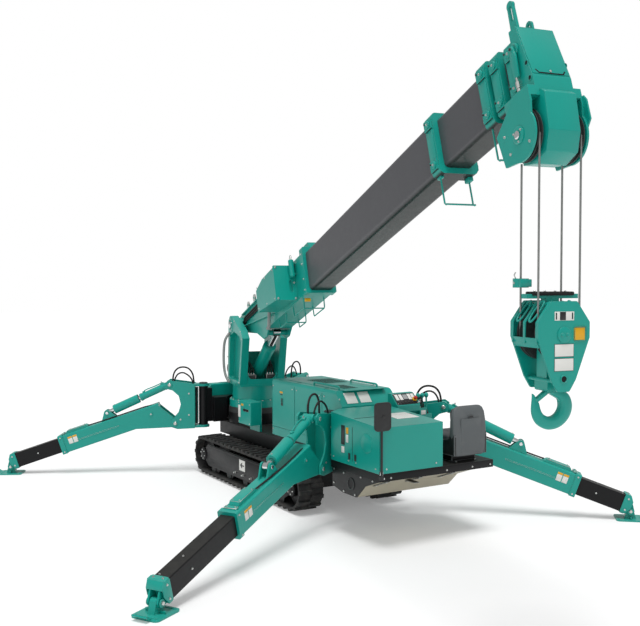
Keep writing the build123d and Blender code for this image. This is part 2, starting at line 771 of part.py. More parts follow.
# Hoist winch drum on its shaft
with BuildPart() as winch:
    with BuildSketch(post_side.offset(-DRUM_HALF)):
        with Locations((WINCH_R, WINCH_Z)):
            Circle(DRUM_R)
            Circle(WINCH_SHAFT_R + PIN_CLEAR, mode=Mode.SUBTRACT)
    extrude(amount=2 * DRUM_HALF)
    for flange_at in (-DRUM_HALF, DRUM_HALF - 16):
        with BuildSketch(post_side.offset(flange_at)):
            with Locations((WINCH_R, WINCH_Z)):
                Circle(DRUM_FLANGE_R)
                Circle(WINCH_SHAFT_R + PIN_CLEAR, mode=Mode.SUBTRACT)
        extrude(amount=16)
write(winch, "winch")

# Boom foot: two side plates open below at the rear, closed round the first section in front
boom_top = AXIS_DROP + BOOM_H / 2
boom_bottom = AXIS_DROP - BOOM_H / 2
plate_in = BOOM_W / 2
plate_out = plate_in + FOOT_SIDE_T
TUBE_START = 1040.0
foot_plate = (
    (0, boom_top),
    (FOOT_END_S, boom_top),
    (FOOT_END_S, boom_bottom - 12),
    (1080, boom_bottom - 12),
    (960, CYL_EYE_T - 62),
    (840, CYL_EYE_T - 62),
    (620, -290),
    (40, -boom_top),
    (0, -boom_top),
)
with BuildPart() as boom_foot:
    for side_sign in (1, -1):
        with BuildSketch(boom_side.offset(side_sign * plate_in)):
            with BuildLine():
                Polyline(*foot_plate, close=True)
            make_face()
            Circle(boom_top)
        extrude(amount=side_sign * FOOT_SIDE_T)
        # pivot boss on the outer side, stub shaft for the cylinder's eye on the inner side
        with BuildSketch(boom_side.offset(side_sign * plate_in)):
            Circle(92)
        extrude(amount=side_sign * (POST_IN - CLEAR - plate_in))
        with BuildSketch(boom_side.offset(side_sign * (CYL_EYE_W / 2 + CLEAR))):
            with Locations((CYL_EYE_S, CYL_EYE_T)):
                Circle(30)
        extrude(amount=side_sign * (plate_in - CYL_EYE_W / 2 - CLEAR))
    with BuildSketch(boom_side.offset(-plate_out)):
        with Locations((TUBE_START / 2, boom_top - 7)):
            Rectangle(TUBE_START, 14)
        with Locations(((TUBE_START + FOOT_END_S) / 2, boom_bottom - 6)):
            Rectangle(FOOT_END_S - TUBE_START, 12)
    extrude(amount=2 * plate_out)
    with BuildSketch(boom_side.offset(-POST_IN)):
        Circle(PIVOT_PIN_R + PIN_CLEAR)
    extrude(amount=2 * POST_IN, mode=Mode.SUBTRACT)
    # frame at the front end
    with BuildSketch(boom_cross(FOOT_END_S - 90, AXIS_DROP + 10)):
        RectangleRounded(2 * plate_out + 40, BOOM_H + 80, 20)
    extrude(amount=90)
    with BuildSketch(boom_cross(FOOT_END_S - 95)):
        RectangleRounded(BOOM_W, BOOM_H, BOOM_CORNER)
    extrude(amount=100, mode=Mode.SUBTRACT)
    with BuildSketch(boom_side.offset(-60)):
        with BuildLine():
            Polyline((2150, boom_top), (2450, boom_top), (2410, 250), (2290, 250), close=True)
        make_face()
    extrude(amount=120)
    # hose channel along the left side, two rails on a plate
    with BuildSketch(boom_side.offset(plate_out)):
        with BuildLine():
            Polyline((150, 96), (1460, 96), (1460, -260), (1380, -260), (150, -70), close=True)
        make_face()
    extrude(amount=6)
    for rail_s, rail_t, rail_turn, rail_l in ((805, 90, 0, 1310), (765, -160, -8.8, 1240)):
        with BuildSketch(boom_side.offset(plate_out)):
            with Locations((rail_s, rail_t)):
                Rectangle(rail_l, 12, rotation=rail_turn)
        extrude(amount=38)
    # side box, open to the rear, with its front plate
    with BuildSketch(boom_side.offset(plate_out)):
        with BuildLine():
            Polyline((1450, 0), (1450, -260), (2140, -320), (2140, 60), (1700, 60), close=True)
        make_face()
    extrude(amount=236)
    with BuildSketch(boom_side.offset(plate_out + 12)):
        with BuildLine():
            Polyline((1440, -14), (1440, -246), (2128, -306), (2128, 46), (1704, 46), close=True)
        make_face()
    extrude(amount=212, mode=Mode.SUBTRACT)
    with BuildSketch(boom_cross(2140, -130)):
        with Locations((-plate_out - 124, 0)):
            RectangleRounded(250, 400, 10)
        with Locations((-plate_out - 60, -40)):
            SlotOverall(130, 36, rotation=90, mode=Mode.SUBTRACT)
    extrude(amount=16)
write(boom_foot, "boom_foot")

# Boom sections: name, tube's rear end, collar's rear and front face; each fits inside the one before
SECTIONS = (
    ("boom_1", TUBE_START, 5400.0, 5520.0),
    ("boom_2", 1670.0, 6180.0, 6298.0),
    ("boom_3", 1770.0, 6330.0, 6440.0),
    ("boom_4", 1870.0, 6500.0, 6615.0),
    ("boom_5", 1970.0, None, HEAD_REAR_S + 20),
)
for number, (section_name, tube_start, collar_start, tube_end) in enumerate(SECTIONS):
    shrink = 2 * number * (BOOM_WALL + NEST_GAP)
    width = BOOM_W - shrink
    height = BOOM_H - shrink
    corner = BOOM_CORNER - number * 6
    with BuildPart() as section:
        with BuildSketch(boom_cross(tube_start)):
            RectangleRounded(width, height, corner)
        extrude(amount=tube_end - tube_start)
        if collar_start:
            with BuildSketch(boom_cross(collar_start)):
                RectangleRounded(width + 2 * COLLAR_OUT, height + 2 * COLLAR_OUT, corner)
            extrude(amount=tube_end - collar_start)
            # keeper plates on both sides of the collar
            for keeper_sign in (1, -1):
                with BuildSketch(boom_side.offset(keeper_sign * (width / 2 + COLLAR_OUT))):
                    for keeper_t in (height / 2 - 50, 50 - height / 2):
                        with Locations(((collar_start + tube_end) / 2, AXIS_DROP + keeper_t)):
                            RectangleRounded(tube_end - collar_start - 16, 90, 8)
                extrude(amount=keeper_sign * 14)
        with BuildSketch(boom_cross(tube_start)):
            RectangleRounded(width - 2 * BOOM_WALL, height - 2 * BOOM_WALL, corner - BOOM_WALL)
        extrude(amount=tube_end - tube_start - MOUTH_L, mode=Mode.SUBTRACT)
        # the mouth guides the next section
        mouth = BOOM_WALL + NEST_GAP - SEAT_GAP
        with BuildSketch(boom_cross(tube_end - MOUTH_L)):
            RectangleRounded(width - 2 * mouth, height - 2 * mouth, corner - 6)
        extrude(amount=MOUTH_L, mode=Mode.SUBTRACT)
    write(section, section_name)

# Boom head: upper shell with sloping cover, lower side plates, centre housing and lugs
last_width = BOOM_W - 8 * (BOOM_WALL + NEST_GAP)
last_height = BOOM_H - 8 * (BOOM_WALL + NEST_GAP)
SHELF_T = -330.0
upper_shell = (
    (HEAD_REAR_S, 150),
    (6700, 150),
    (6780, -260),
    (6780, -400),
    (HEAD_REAR_S, -400),
)
lower_plate = (
    (HEAD_REAR_S, SHELF_T),
    (6780, SHELF_T),
    (6780, -440),
    (6740, -600),
    (6600, -780),
    (6400, -740),
    (6360, -500),
)
with BuildPart() as boom_head:
    with BuildSketch(boom_side.offset(-HEAD_HALF)):
        with BuildLine():
            Polyline(*upper_shell, close=True)
        make_face()
    extrude(amount=2 * HEAD_HALF)
    with BuildSketch(boom_side.offset(-HEAD_HALF + HEAD_SKIN)):
        with BuildLine():
            Polyline(
                (HEAD_REAR_S + 22, 134),
                (6688, 134),
                (6764, -260),
                (6764, SHELF_T),
                (HEAD_REAR_S + 22, SHELF_T),
                close=True,
            )
        make_face()
    extrude(amount=2 * (HEAD_HALF - HEAD_SKIN), mode=Mode.SUBTRACT)
    with BuildSketch(boom_cross(HEAD_REAR_S - 5)):
        RectangleRounded(last_width, last_height, BOOM_CORNER - 24)
    extrude(amount=40, mode=Mode.SUBTRACT)
    # shelf that carries the lower side plates
    with BuildSketch(boom_side.offset(-HEAD_LOWER_HALF)):
        with Locations(((HEAD_REAR_S + 6780) / 2, SHELF_T - 35)):
            Rectangle(6780 - HEAD_REAR_S, 70)
    extrude(amount=2 * HEAD_LOWER_HALF)
    for side_sign in (1, -1):
        with BuildSketch(boom_side.offset(side_sign * HEAD_LOWER_HALF)):
            with BuildLine():
                Polyline(*lower_plate, close=True)
            make_face()
            with Locations((HEAD_AXIS_S, HEAD_AXIS_T)):
                Circle(180)
        extrude(amount=-side_sign * HEAD_SKIN)
    # centre housing between the two rope sheaves
    with BuildSketch(boom_side.offset(-HOUSING_HALF)):
        with Locations((HEAD_AXIS_S, HEAD_AXIS_T)):
            Circle(186)
        with BuildLine():
            Polyline(
                (HEAD_REAR_S, -360),
                (6790, -360),
                (6800, -480),
                (6786, -600),
                (6440, -600),
                close=True,
            )
        make_face()
    extrude(amount=2 * HOUSING_HALF)
    with BuildSketch(boom_side.offset(-HEAD_LOWER_HALF - 14)):
        with Locations((HEAD_AXIS_S, HEAD_AXIS_T)):
            Circle(HEAD_PIN_R)
    extrude(amount=2 * (HEAD_LOWER_HALF + 14))
    # tall lug with a slot on the left, short lug beside it
    with BuildSketch(boom_side.offset(HEAD_HALF - 40)):
        with BuildLine():
            Polyline((HEAD_REAR_S, 60), (6700, 60), (6692, 330), (6632, 330), close=True)
        make_face()
        with Locations((6662, 330)):
            Circle(34)
        with Locations((6662, 270)):
            SlotOverall(120, 32, rotation=90, mode=Mode.SUBTRACT)
    extrude(amount=22)
    with BuildSketch(boom_side.offset(-8)):
        with Locations((6662, 160)):
            Rectangle(70, 40)
        with Locations((6662, 190)):
            Circle(35)
            Circle(14, mode=Mode.SUBTRACT)
    extrude(amount=16)
write(boom_head, "boom_head")

# Grooved rope sheave, drawn as half a section: distance from the axle, distance along it


def sheave_section(bore):
    """Points of a sheave's half section round an axle hole of the given radius."""
    return (
        (bore, -SHEAVE_T / 2),
        (SHEAVE_FLANGE_R, -SHEAVE_T / 2),
        (SHEAVE_FLANGE_R, -ROPE_R - 4),
        (SHEAVE_ROPE_R - ROPE_R - 1, -ROPE_R + 1),
        (SHEAVE_ROPE_R - ROPE_R - 1, ROPE_R - 1),
        (SHEAVE_FLANGE_R, ROPE_R + 4),
        (SHEAVE_FLANGE_R, SHEAVE_T / 2),
        (bore, SHEAVE_T / 2),
    )


with BuildPart() as head_sheaves:
    for side_sign in (1, -1):
        wheel_centre = boom_side.from_local_coords((HEAD_AXIS_S, HEAD_AXIS_T, side_sign * SHEAVE_SIDE))
        with BuildSketch(Plane(origin=wheel_centre, x_dir=heading, z_dir=(0, 0, -1))):
            with BuildLine():
                Polyline(*sheave_section(HEAD_PIN_R + PIN_CLEAR), close=True)
            make_face()
        revolve(axis=Axis(wheel_centre, boom_left))
write(head_sheaves, "head_sheaves")

# Hook block: its plane looks along the boom's heading, its sheaves turn about that heading
head_point = boom_side.from_local_coords((HEAD_AXIS_S, HEAD_AXIS_T, 0))
head_r = post_side.to_local_coords(head_point).X
block_r = head_r + SHEAVE_ROPE_R - ROPE_ROW
block_side = Plane(
    origin=post_side.from_local_coords((block_r, BLOCK_AXIS_Z, 0)),
    x_dir=boom_left * -1,
    z_dir=heading,
)
cheek_half = (
    (100, 215),
    (200, 80),
    (200, -20),
    (95, -290),
    (45, -368),
)
cheek_outline = [*cheek_half, *[(-x, y) for x, y in reversed(cheek_half)]]
SHANK_BOTTOM = -375.0
with BuildPart() as hook_block:
    for cheek_at in (-BLOCK_HALF, BLOCK_HALF - CHEEK_T):
        with BuildSketch(block_side.offset(cheek_at)):
            with BuildLine():
                Polyline(*cheek_outline, close=True)
            make_face()
            fillet(vertices(), 18)
        extrude(amount=CHEEK_T)
    # middle frame, axle, spacers and top bar
    with BuildSketch(block_side.offset(-55)):
        with Locations((0, -70)):
            RectangleRounded(120, 560, 20)
    extrude(amount=110)
    with BuildSketch(block_side.offset(-BLOCK_HALF - 8)):
        Circle(BLOCK_PIN_R)
    extrude(amount=2 * BLOCK_HALF + 16)
    with BuildSketch(block_side.offset(-BLOCK_HALF)):
        with Locations((-84, 192), (84, 192), (-60, -300), (60, -300)):
            Circle(13)
    extrude(amount=2 * BLOCK_HALF)
    with BuildSketch(block_side.offset(-30)):
        with Locations((0, 245)):
            Rectangle(400, 30)
        with Locations((0, 215)):
            Rectangle(100, 50)
    extrude(amount=60)
    # bearing block of the hook, bored from below
    with BuildSketch(block_side.offset(-70)):
        with Locations((0, -335)):
            RectangleRounded(130, 80, 16)
    extrude(amount=140)
    with BuildSketch(Plane.XY.offset(BLOCK_AXIS_Z + SHANK_BOTTOM)):
        with Locations((block_side.origin.X, block_side.origin.Y)):
            Circle(SHANK_R + PIN_CLEAR)
    extrude(amount=95, mode=Mode.SUBTRACT)
write(hook_block, "hook_block")

with BuildPart() as block_sheaves:
    for row_sign in (1, -1):
        wheel_centre = block_side.from_local_coords((0, 0, row_sign * ROPE_ROW))
        with BuildSketch(Plane(origin=wheel_centre, x_dir=boom_left, z_dir=(0, 0, 1))):
            with BuildLine():
                Polyline(*sheave_section(BLOCK_PIN_R + PIN_CLEAR), close=True)
            make_face()
        revolve(axis=Axis(wheel_centre, heading))
write(block_sheaves, "block_sheaves")

# Four falls of the hoist rope: distance of the row from the block's middle, height of the upper end
ROPE_ROWS = (
    (ROPE_ROW, head_point.Z),
    (-ROPE_ROW, head_point.Z - SHEAVE_FLANGE_R - 4),
)
with BuildPart() as rope_falls:
    for row_at, rope_top in ROPE_ROWS:
        for side_sign in (1, -1):
            rope_side = side_sign * SHEAVE_SIDE
            rope_at = post_side.from_local_coords((block_r + row_at, BLOCK_AXIS_Z, rope_side))
            with BuildSketch(Plane.XY.offset(BLOCK_AXIS_Z)):
                with Locations((rope_at.X, rope_at.Y)):
                    Circle(ROPE_R)
            extrude(amount=rope_top - BLOCK_AXIS_Z)
write(rope_falls, "rope_falls")

# Overwind weight, a ring round the left rear fall above the block
with BuildPart() as overwind_weight:
    weight_at = post_side.from_local_coords((block_r - ROPE_ROW, 0, SHEAVE_SIDE))
    with BuildSketch(Plane.XY.offset(2470)):
        with Locations((weight_at.X, weight_at.Y)):
            Circle(52)
            Circle(ROPE_R + SEAT_GAP, mode=Mode.SUBTRACT)
    extrude(amount=60)
write(overwind_weight, "overwind_weight")

# Hook with its shank in the block, and the safety latch
hook_side = Plane(
    origin=post_side.from_local_coords((block_r, HOOK_BOWL_Z, 0)),
    x_dir=boom_left * -1,
    z_dir=heading,
)
block_bottom = BLOCK_AXIS_Z + SHANK_BOTTOM
neck_top = block_bottom - CLEAR - HOOK_BOWL_Z
with BuildPart() as hook:
    with BuildSketch(hook_side.offset(-HOOK_HALF_T)):
        with BuildLine():
            Line((-SHANK_R, 71), (-SHANK_R, neck_top))
            Line((-SHANK_R, neck_top), (SHANK_R, neck_top))
            ThreePointArc((SHANK_R, neck_top), (118, 48), (150, -36))
            ThreePointArc((150, -36), (104, -144), (-12, -182))
            ThreePointArc((-12, -182), (-106, -144), (-148, -54))
            ThreePointArc((-148, -54), (-144, -2), (-112, 40))
            Line((-112, 40), (-78, -4))
            ThreePointArc((-78, -4), (56, -54.3), (-SHANK_R, 71))
        make_face()
    extrude(amount=2 * HOOK_HALF_T)
    with BuildSketch(Plane.XY.offset(HOOK_BOWL_Z + 76)):
        with Locations((hook_side.origin.X, hook_side.origin.Y)):
            Circle(SHANK_R)
    extrude(amount=block_bottom + 85 - HOOK_BOWL_Z - 76)
    # latch
    with BuildSketch(hook_side.offset(-7)):
        with BuildLine():
            Polyline((-34, 80), (-22, 88), (-106, 36), (-114, 26), close=True)
        make_face()
    extrude(amount=14)
write(hook, "hook")

# Derrick cylinder: barrel on the foot shaft in the table, rod to the stub shafts in the boom foot
eye_point = post_side.to_local_coords(boom_side.from_local_coords((CYL_EYE_S, CYL_EYE_T, 0)))
cyl_length = math.hypot(eye_point.X - CYL_FOOT_R, eye_point.Y - CYL_FOOT_Z)
cyl_turn = math.atan2(eye_point.Y - CYL_FOOT_Z, eye_point.X - CYL_FOOT_R)
cyl_dir = heading * math.cos(cyl_turn) + Vector(0, 0, 1) * math.sin(cyl_turn)
cyl_side = Plane(
    origin=post_side.from_local_coords((CYL_FOOT_R, CYL_FOOT_Z, 0)),
    x_dir=cyl_dir,
    z_dir=boom_left,
)


def across(side_plane, station, height=0.0):
    """Plane across a bar, at a distance along the side plane's X, looking along the bar."""
    centre = side_plane.from_local_coords((station, height, 0))
    return Plane(origin=centre, x_dir=side_plane.z_dir * -1, z_dir=side_plane.x_dir)


with BuildPart() as derrick_barrel:
    with BuildSketch(across(cyl_side, CYL_BARREL_S)):
        Circle(CYL_R)
    extrude(amount=CYL_BARREL_L - CYL_BARREL_S)
    with BuildSketch(across(cyl_side, CYL_BARREL_L - 80)):
        Circle(CYL_R + 4)
    extrude(amount=60)
    with BuildSketch(cyl_side.offset(-CYL_FOOT_W / 2)):
        Circle(52)
        with Locations((CYL_BARREL_S / 2, 0)):
            Rectangle(CYL_BARREL_S, 90)
    extrude(amount=CYL_FOOT_W)
    with BuildSketch(cyl_side.offset(-CYL_FOOT_W / 2)):
        Circle(CYL_FOOT_PIN_R + PIN_CLEAR)
    extrude(amount=CYL_FOOT_W, mode=Mode.SUBTRACT)
    with BuildSketch(across(cyl_side, 120)):
        Circle(CYL_ROD_R + PIN_CLEAR)
    extrude(amount=CYL_BARREL_L - 120, mode=Mode.SUBTRACT)
write(derrick_barrel, "derrick_barrel")

with BuildPart() as derrick_rod:
    with BuildSketch(across(cyl_side, 360)):
        Circle(CYL_ROD_R)
    extrude(amount=cyl_length - 360)
    with BuildSketch(cyl_side.offset(-CYL_EYE_W / 2)):
        with Locations((cyl_length, 0)):
            Circle(CYL_EYE_R)
    extrude(amount=CYL_EYE_W)
write(derrick_rod, "derrick_rod")

# Outriggers: bracket on the swing post, arm, inner arm, foot and lift cylinder
bracket_outline = (
    (104, 585),
    (330, 575),
    (405, 600),
    (412, 680),
    (318, 790),
    (286, 900),
    (312, 1010),
    (390, 1080),
    (480, 1105),
    (490, 1180),
    (440, 1212),
    (104, 1165),
)
for leg_name, post_x, post_y, leg_heading, leg_reach in LEGS:
    leg_turn = math.radians(leg_heading)
    leg_side = Plane(
        origin=(post_x, post_y, 0),
        x_dir=(math.cos(leg_turn), math.sin(leg_turn), 0),
        z_dir=(math.sin(leg_turn), -math.cos(leg_turn), 0),
    )
    # tilt of the arm that puts the foot's pin at the reach
    drop = LEG_PIVOT_Z - FOOT_PIN_Z
    span = leg_reach - LEG_PIVOT_R
    foot_pin_s = math.sqrt(span**2 + drop**2 - FOOT_PIN_T**2)
    tilt = math.atan2(drop, span) + math.atan2(FOOT_PIN_T, foot_pin_s)
    inner_end = foot_pin_s - FOOT_PIN_OUT
    inner_start = inner_end - INNER_L
    arm_side = Plane(
        origin=leg_side.from_local_coords((LEG_PIVOT_R, LEG_PIVOT_Z, 0)),
        x_dir=leg_side.x_dir * math.cos(tilt) + Vector(0, 0, -math.sin(tilt)),
        z_dir=leg_side.z_dir,
    )

    with BuildPart() as bracket:
        for side_sign in (1, -1):
            with BuildSketch(leg_side.offset(side_sign * LEG_PLATE_IN)):
                with BuildLine():
                    Polyline(*bracket_outline, close=True)
                make_face()
            extrude(amount=side_sign * LEG_PLATE_T)
        with BuildSketch(leg_side.offset(-LEG_PLATE_IN)):
            with Locations((114, (BOSS_Z0 + BOSS_Z1) / 2)):
                Rectangle(20, BOSS_Z1 - BOSS_Z0 + 20)
        extrude(amount=2 * LEG_PLATE_IN)
        # ears above and below the swing post
        for ear_z in (BOSS_Z0 - SEAT_GAP - EAR_T, BOSS_Z1 + SEAT_GAP):
            ear_foot = (post_x, post_y, ear_z)
            with BuildSketch(Plane(origin=ear_foot, x_dir=leg_side.x_dir, z_dir=(0, 0, 1))):
                Circle(EAR_R)
                with BuildLine():
                    Polyline(
                        (0, EAR_R),
                        (124, LEG_PLATE_IN),
                        (124, -LEG_PLATE_IN),
                        (0, -EAR_R),
                        close=True,
                    )
                make_face()
                Circle(SWING_PIN_R + PIN_CLEAR, mode=Mode.SUBTRACT)
            extrude(amount=EAR_T)
        for pin_r, pin_z in ((LEG_PIVOT_R, LEG_PIVOT_Z), (LEG_TOP_PIN_R, LEG_TOP_PIN_Z)):
            with BuildSketch(leg_side.offset(-LEG_PLATE_IN - LEG_PLATE_T - 10)):
                with Locations((pin_r, pin_z)):
                    Circle(LEG_PIN_R)
            extrude(amount=2 * (LEG_PLATE_IN + LEG_PLATE_T + 10))
    write(bracket, f"bracket_{leg_name}")

    with BuildPart() as arm:
        with BuildSketch(across(arm_side, ARM_ROOT_S, ARM_AXIS_T)):
            RectangleRounded(ARM_W, ARM_H, 16)
        extrude(amount=ARM_END_S - ARM_ROOT_S)
        for side_sign in (1, -1):
            with BuildSketch(arm_side.offset(side_sign * ARM_W / 2)):
                with BuildLine():
                    Polyline(
                        (-44, 10),
                        (-20, -44),
                        (30, -46),
                        (520, 96),
                        (520, 130),
                        (140, 300),
                        close=True,
                    )
                make_face()
                Circle(48)
            extrude(amount=-side_sign * 16)
        with BuildSketch(arm_side.offset(-ARM_W / 2)):
            Circle(40)
        extrude(amount=ARM_W)
        # reinforcing collar at the outer end
        with BuildSketch(across(arm_side, ARM_END_S - 60, ARM_AXIS_T)):
            RectangleRounded(ARM_W + 20, ARM_H + 20, 18)
        extrude(amount=60)
        # cover of the extension drive on top
        with BuildSketch(arm_side.offset(-50)):
            with BuildLine():
                Polyline((1060, 316), (1400, 316), (1370, 356), (1110, 356), close=True)
            make_face()
        extrude(amount=100)
        with BuildSketch(arm_side.offset(-ARM_W / 2)):
            Circle(LEG_PIN_R + PIN_CLEAR)
        extrude(amount=ARM_W, mode=Mode.SUBTRACT)
        with BuildSketch(across(arm_side, ARM_ROOT_S + ARM_WALL, ARM_AXIS_T)):
            Rectangle(ARM_W - 2 * ARM_WALL, ARM_H - 2 * ARM_WALL)
        extrude(amount=ARM_END_S - ARM_ROOT_S - ARM_WALL - MOUTH_L, mode=Mode.SUBTRACT)
        with BuildSketch(across(arm_side, ARM_END_S - MOUTH_L, ARM_AXIS_T)):
            RectangleRounded(INNER_W + 2 * SEAT_GAP, INNER_H + 2 * SEAT_GAP, 12)
        extrude(amount=MOUTH_L, mode=Mode.SUBTRACT)
        # ears and stub shafts for the lift cylinder's rod
        for side_sign in (1, -1):
            with BuildSketch(arm_side.offset(side_sign * (LIFT_EYE_W / 2 + 2 * CLEAR))):
                with BuildLine():
                    Polyline((690, 312), (910, 312), (835, 430), (765, 430), close=True)
                make_face()
                with Locations((ARM_LUG_S, ARM_LUG_T)):
                    Circle(40)
            extrude(amount=side_sign * 16)
            with BuildSketch(arm_side.offset(side_sign * (LIFT_EYE_W / 2 + CLEAR))):
                with Locations((ARM_LUG_S, ARM_LUG_T)):
                    Circle(20)
            extrude(amount=side_sign * (CLEAR + 16 + 10))
    write(arm, f"arm_{leg_name}")

    with BuildPart() as inner_arm:
        with BuildSketch(across(arm_side, inner_start, ARM_AXIS_T)):
            RectangleRounded(INNER_W, INNER_H, 12)
            Rectangle(INNER_W - 2 * INNER_WALL, INNER_H - 2 * INNER_WALL, mode=Mode.SUBTRACT)
        extrude(amount=INNER_L)
        with BuildSketch(across(arm_side, inner_end, ARM_AXIS_T)):
            RectangleRounded(INNER_W, INNER_H, 12)
        extrude(amount=12)
        for side_sign in (1, -1):
            with BuildSketch(arm_side.offset(side_sign * (FOOT_LUG_W / 2 + CLEAR))):
                with BuildLine():
                    Polyline(
                        (inner_end + 6, ARM_AXIS_T - INNER_H / 2),
                        (inner_end + 6, ARM_AXIS_T + INNER_H / 2),
                        (inner_end + 40, ARM_AXIS_T + INNER_H / 2 - 20),
                        (foot_pin_s + 40, FOOT_PIN_T + 10),
                        (foot_pin_s, FOOT_PIN_T - 38),
                        close=True,
                    )
                make_face()
                with Locations((foot_pin_s, FOOT_PIN_T)):
                    Circle(38)
            extrude(amount=side_sign * 16)
        with BuildSketch(arm_side.offset(-FOOT_LUG_W / 2 - CLEAR - 24)):
            with Locations((foot_pin_s, FOOT_PIN_T)):
                Circle(FOOT_PIN_R)
        extrude(amount=FOOT_LUG_W + 2 * CLEAR + 48)
    write(inner_arm, f"inner_{leg_name}")

    with BuildPart() as foot:
        pad_centre = leg_side.from_local_coords((leg_reach, 0, 0))
        with BuildSketch(Plane(origin=pad_centre, x_dir=leg_side.x_dir, z_dir=(0, 0, 1))):
            RectangleRounded(PAD_L, PAD_W, 40)
        extrude(amount=PAD_T)
        with BuildSketch(leg_side.offset(-FOOT_LUG_W / 2)):
            with BuildLine():
                Polyline(
                    (leg_reach - FOOT_WEB_HALF, PAD_T - 2),
                    (leg_reach + FOOT_WEB_HALF, PAD_T - 2),
                    (leg_reach + 34, FOOT_PIN_Z + 10),
                    (leg_reach - 34, FOOT_PIN_Z + 10),
                    close=True,
                )
            make_face()
            with Locations((leg_reach, FOOT_PIN_Z)):
                Circle(36)
        extrude(amount=FOOT_LUG_W)
        with BuildSketch(leg_side.offset(-FOOT_LUG_W / 2)):
            with Locations((leg_reach, FOOT_PIN_Z)):
                Circle(FOOT_PIN_R + PIN_CLEAR)
        extrude(amount=FOOT_LUG_W, mode=Mode.SUBTRACT)
        # turned-up toe on the outer edge
        with BuildSketch(leg_side.offset(-70)):
            with BuildLine():
                toe = leg_reach + PAD_L / 2
                Polyline((toe - 14, 2), (toe + 50, 40), (toe + 44, 52), (toe - 20, PAD_T), close=True)
            make_face()
        extrude(amount=140)
    write(foot, f"foot_{leg_name}")

    # lift cylinder between the bracket's top pin and the arm's ears
    lug_point = leg_side.to_local_coords(arm_side.from_local_coords((ARM_LUG_S, ARM_LUG_T, 0)))
    lift_length = math.hypot(lug_point.X - LEG_TOP_PIN_R, lug_point.Y - LEG_TOP_PIN_Z)
    lift_turn = math.atan2(lug_point.Y - LEG_TOP_PIN_Z, lug_point.X - LEG_TOP_PIN_R)
    lift_side = Plane(
        origin=leg_side.from_local_coords((LEG_TOP_PIN_R, LEG_TOP_PIN_Z, 0)),
        x_dir=leg_side.x_dir * math.cos(lift_turn) + Vector(0, 0, math.sin(lift_turn)),
        z_dir=leg_side.z_dir,
    )
    with BuildPart() as lift_barrel:
        with BuildSketch(across(lift_side, 36)):
            Circle(LIFT_BARREL_R)
        extrude(amount=LIFT_BARREL_L - 36)
        with BuildSketch(lift_side.offset(-60)):
            Circle(44)
        extrude(amount=120)
        with BuildSketch(lift_side.offset(-60)):
            Circle(LEG_PIN_R + PIN_CLEAR)
        extrude(amount=120, mode=Mode.SUBTRACT)
        with BuildSketch(across(lift_side, 70)):
            Circle(LIFT_ROD_R + PIN_CLEAR)
        extrude(amount=LIFT_BARREL_L - 70, mode=Mode.SUBTRACT)
    write(lift_barrel, f"lift_barrel_{leg_name}")

    with BuildPart() as lift_rod:
        rod_start = lift_length - LIFT_ROD_L
        with BuildSketch(across(lift_side, rod_start)):
            Circle(LIFT_ROD_R)
        extrude(amount=LIFT_ROD_L)
        with BuildSketch(lift_side.offset(-LIFT_EYE_W / 2)):
            with Locations((lift_length, 0)):
                Circle(36)
        extrude(amount=LIFT_EYE_W)
    write(lift_rod, f"lift_rod_{leg_name}")
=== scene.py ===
"""Mini crawler crane: its visual model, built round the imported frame.

Lengths are written in millimetres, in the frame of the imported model, and turn to
metres where a piece is finished. X points along the direction of travel, Y to the
left, Z up, and the slewing axis stands at X = Y = 0.
"""

import logging
import math
from dataclasses import dataclass, field
from enum import Enum
from typing import Any, Optional, Sequence

import bmesh
import bpy
from mathutils import Matrix, Vector


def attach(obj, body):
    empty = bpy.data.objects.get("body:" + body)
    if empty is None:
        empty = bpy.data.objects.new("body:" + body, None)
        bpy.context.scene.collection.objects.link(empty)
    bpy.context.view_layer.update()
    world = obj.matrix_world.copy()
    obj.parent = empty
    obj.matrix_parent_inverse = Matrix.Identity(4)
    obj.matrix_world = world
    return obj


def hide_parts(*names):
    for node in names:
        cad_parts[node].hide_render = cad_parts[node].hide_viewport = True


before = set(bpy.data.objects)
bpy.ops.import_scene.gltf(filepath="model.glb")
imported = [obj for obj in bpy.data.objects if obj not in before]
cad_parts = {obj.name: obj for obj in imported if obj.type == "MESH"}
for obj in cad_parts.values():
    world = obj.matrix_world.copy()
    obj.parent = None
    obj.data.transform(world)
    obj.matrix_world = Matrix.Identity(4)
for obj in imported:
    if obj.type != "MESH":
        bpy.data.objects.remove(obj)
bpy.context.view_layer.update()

LOG = logging.getLogger("crane")
MM = 0.001
SHARP_EDGE = math.radians(32)
WAVES_PER_UNIT = 6.28
UP = Vector((0, 0, 1))


class Slot(Enum):
    """Material slots of the record."""

    TEAL = "teal_paint"
    BLACK = "black_paint"
    IRON = "dark_iron"
    ROPE = "rope_steel"
    VINYL = "seat_vinyl"
    PLASTIC = "black_plastic"


def linear(colour: str) -> tuple[float, float, float, float]:
    """Turns an sRGB hex colour to the linear values that a shader takes.

    Args:
        colour: Six hex digits with a leading hash.

    Returns:
        Red, green and blue in linear light, and an alpha of 1.
    """
    parts = [int(colour[i : i + 2], 16) / 255 for i in (1, 3, 5)]
    red, green, blue = [p / 12.92 if p <= 0.04045 else ((p + 0.055) / 1.055) ** 2.4 for p in parts]
    return red, green, blue, 1.0


def per_metre(millimetres: float) -> float:
    """Pattern scale whose features are about that many millimetres wide."""
    return 1.0 / (millimetres * MM)


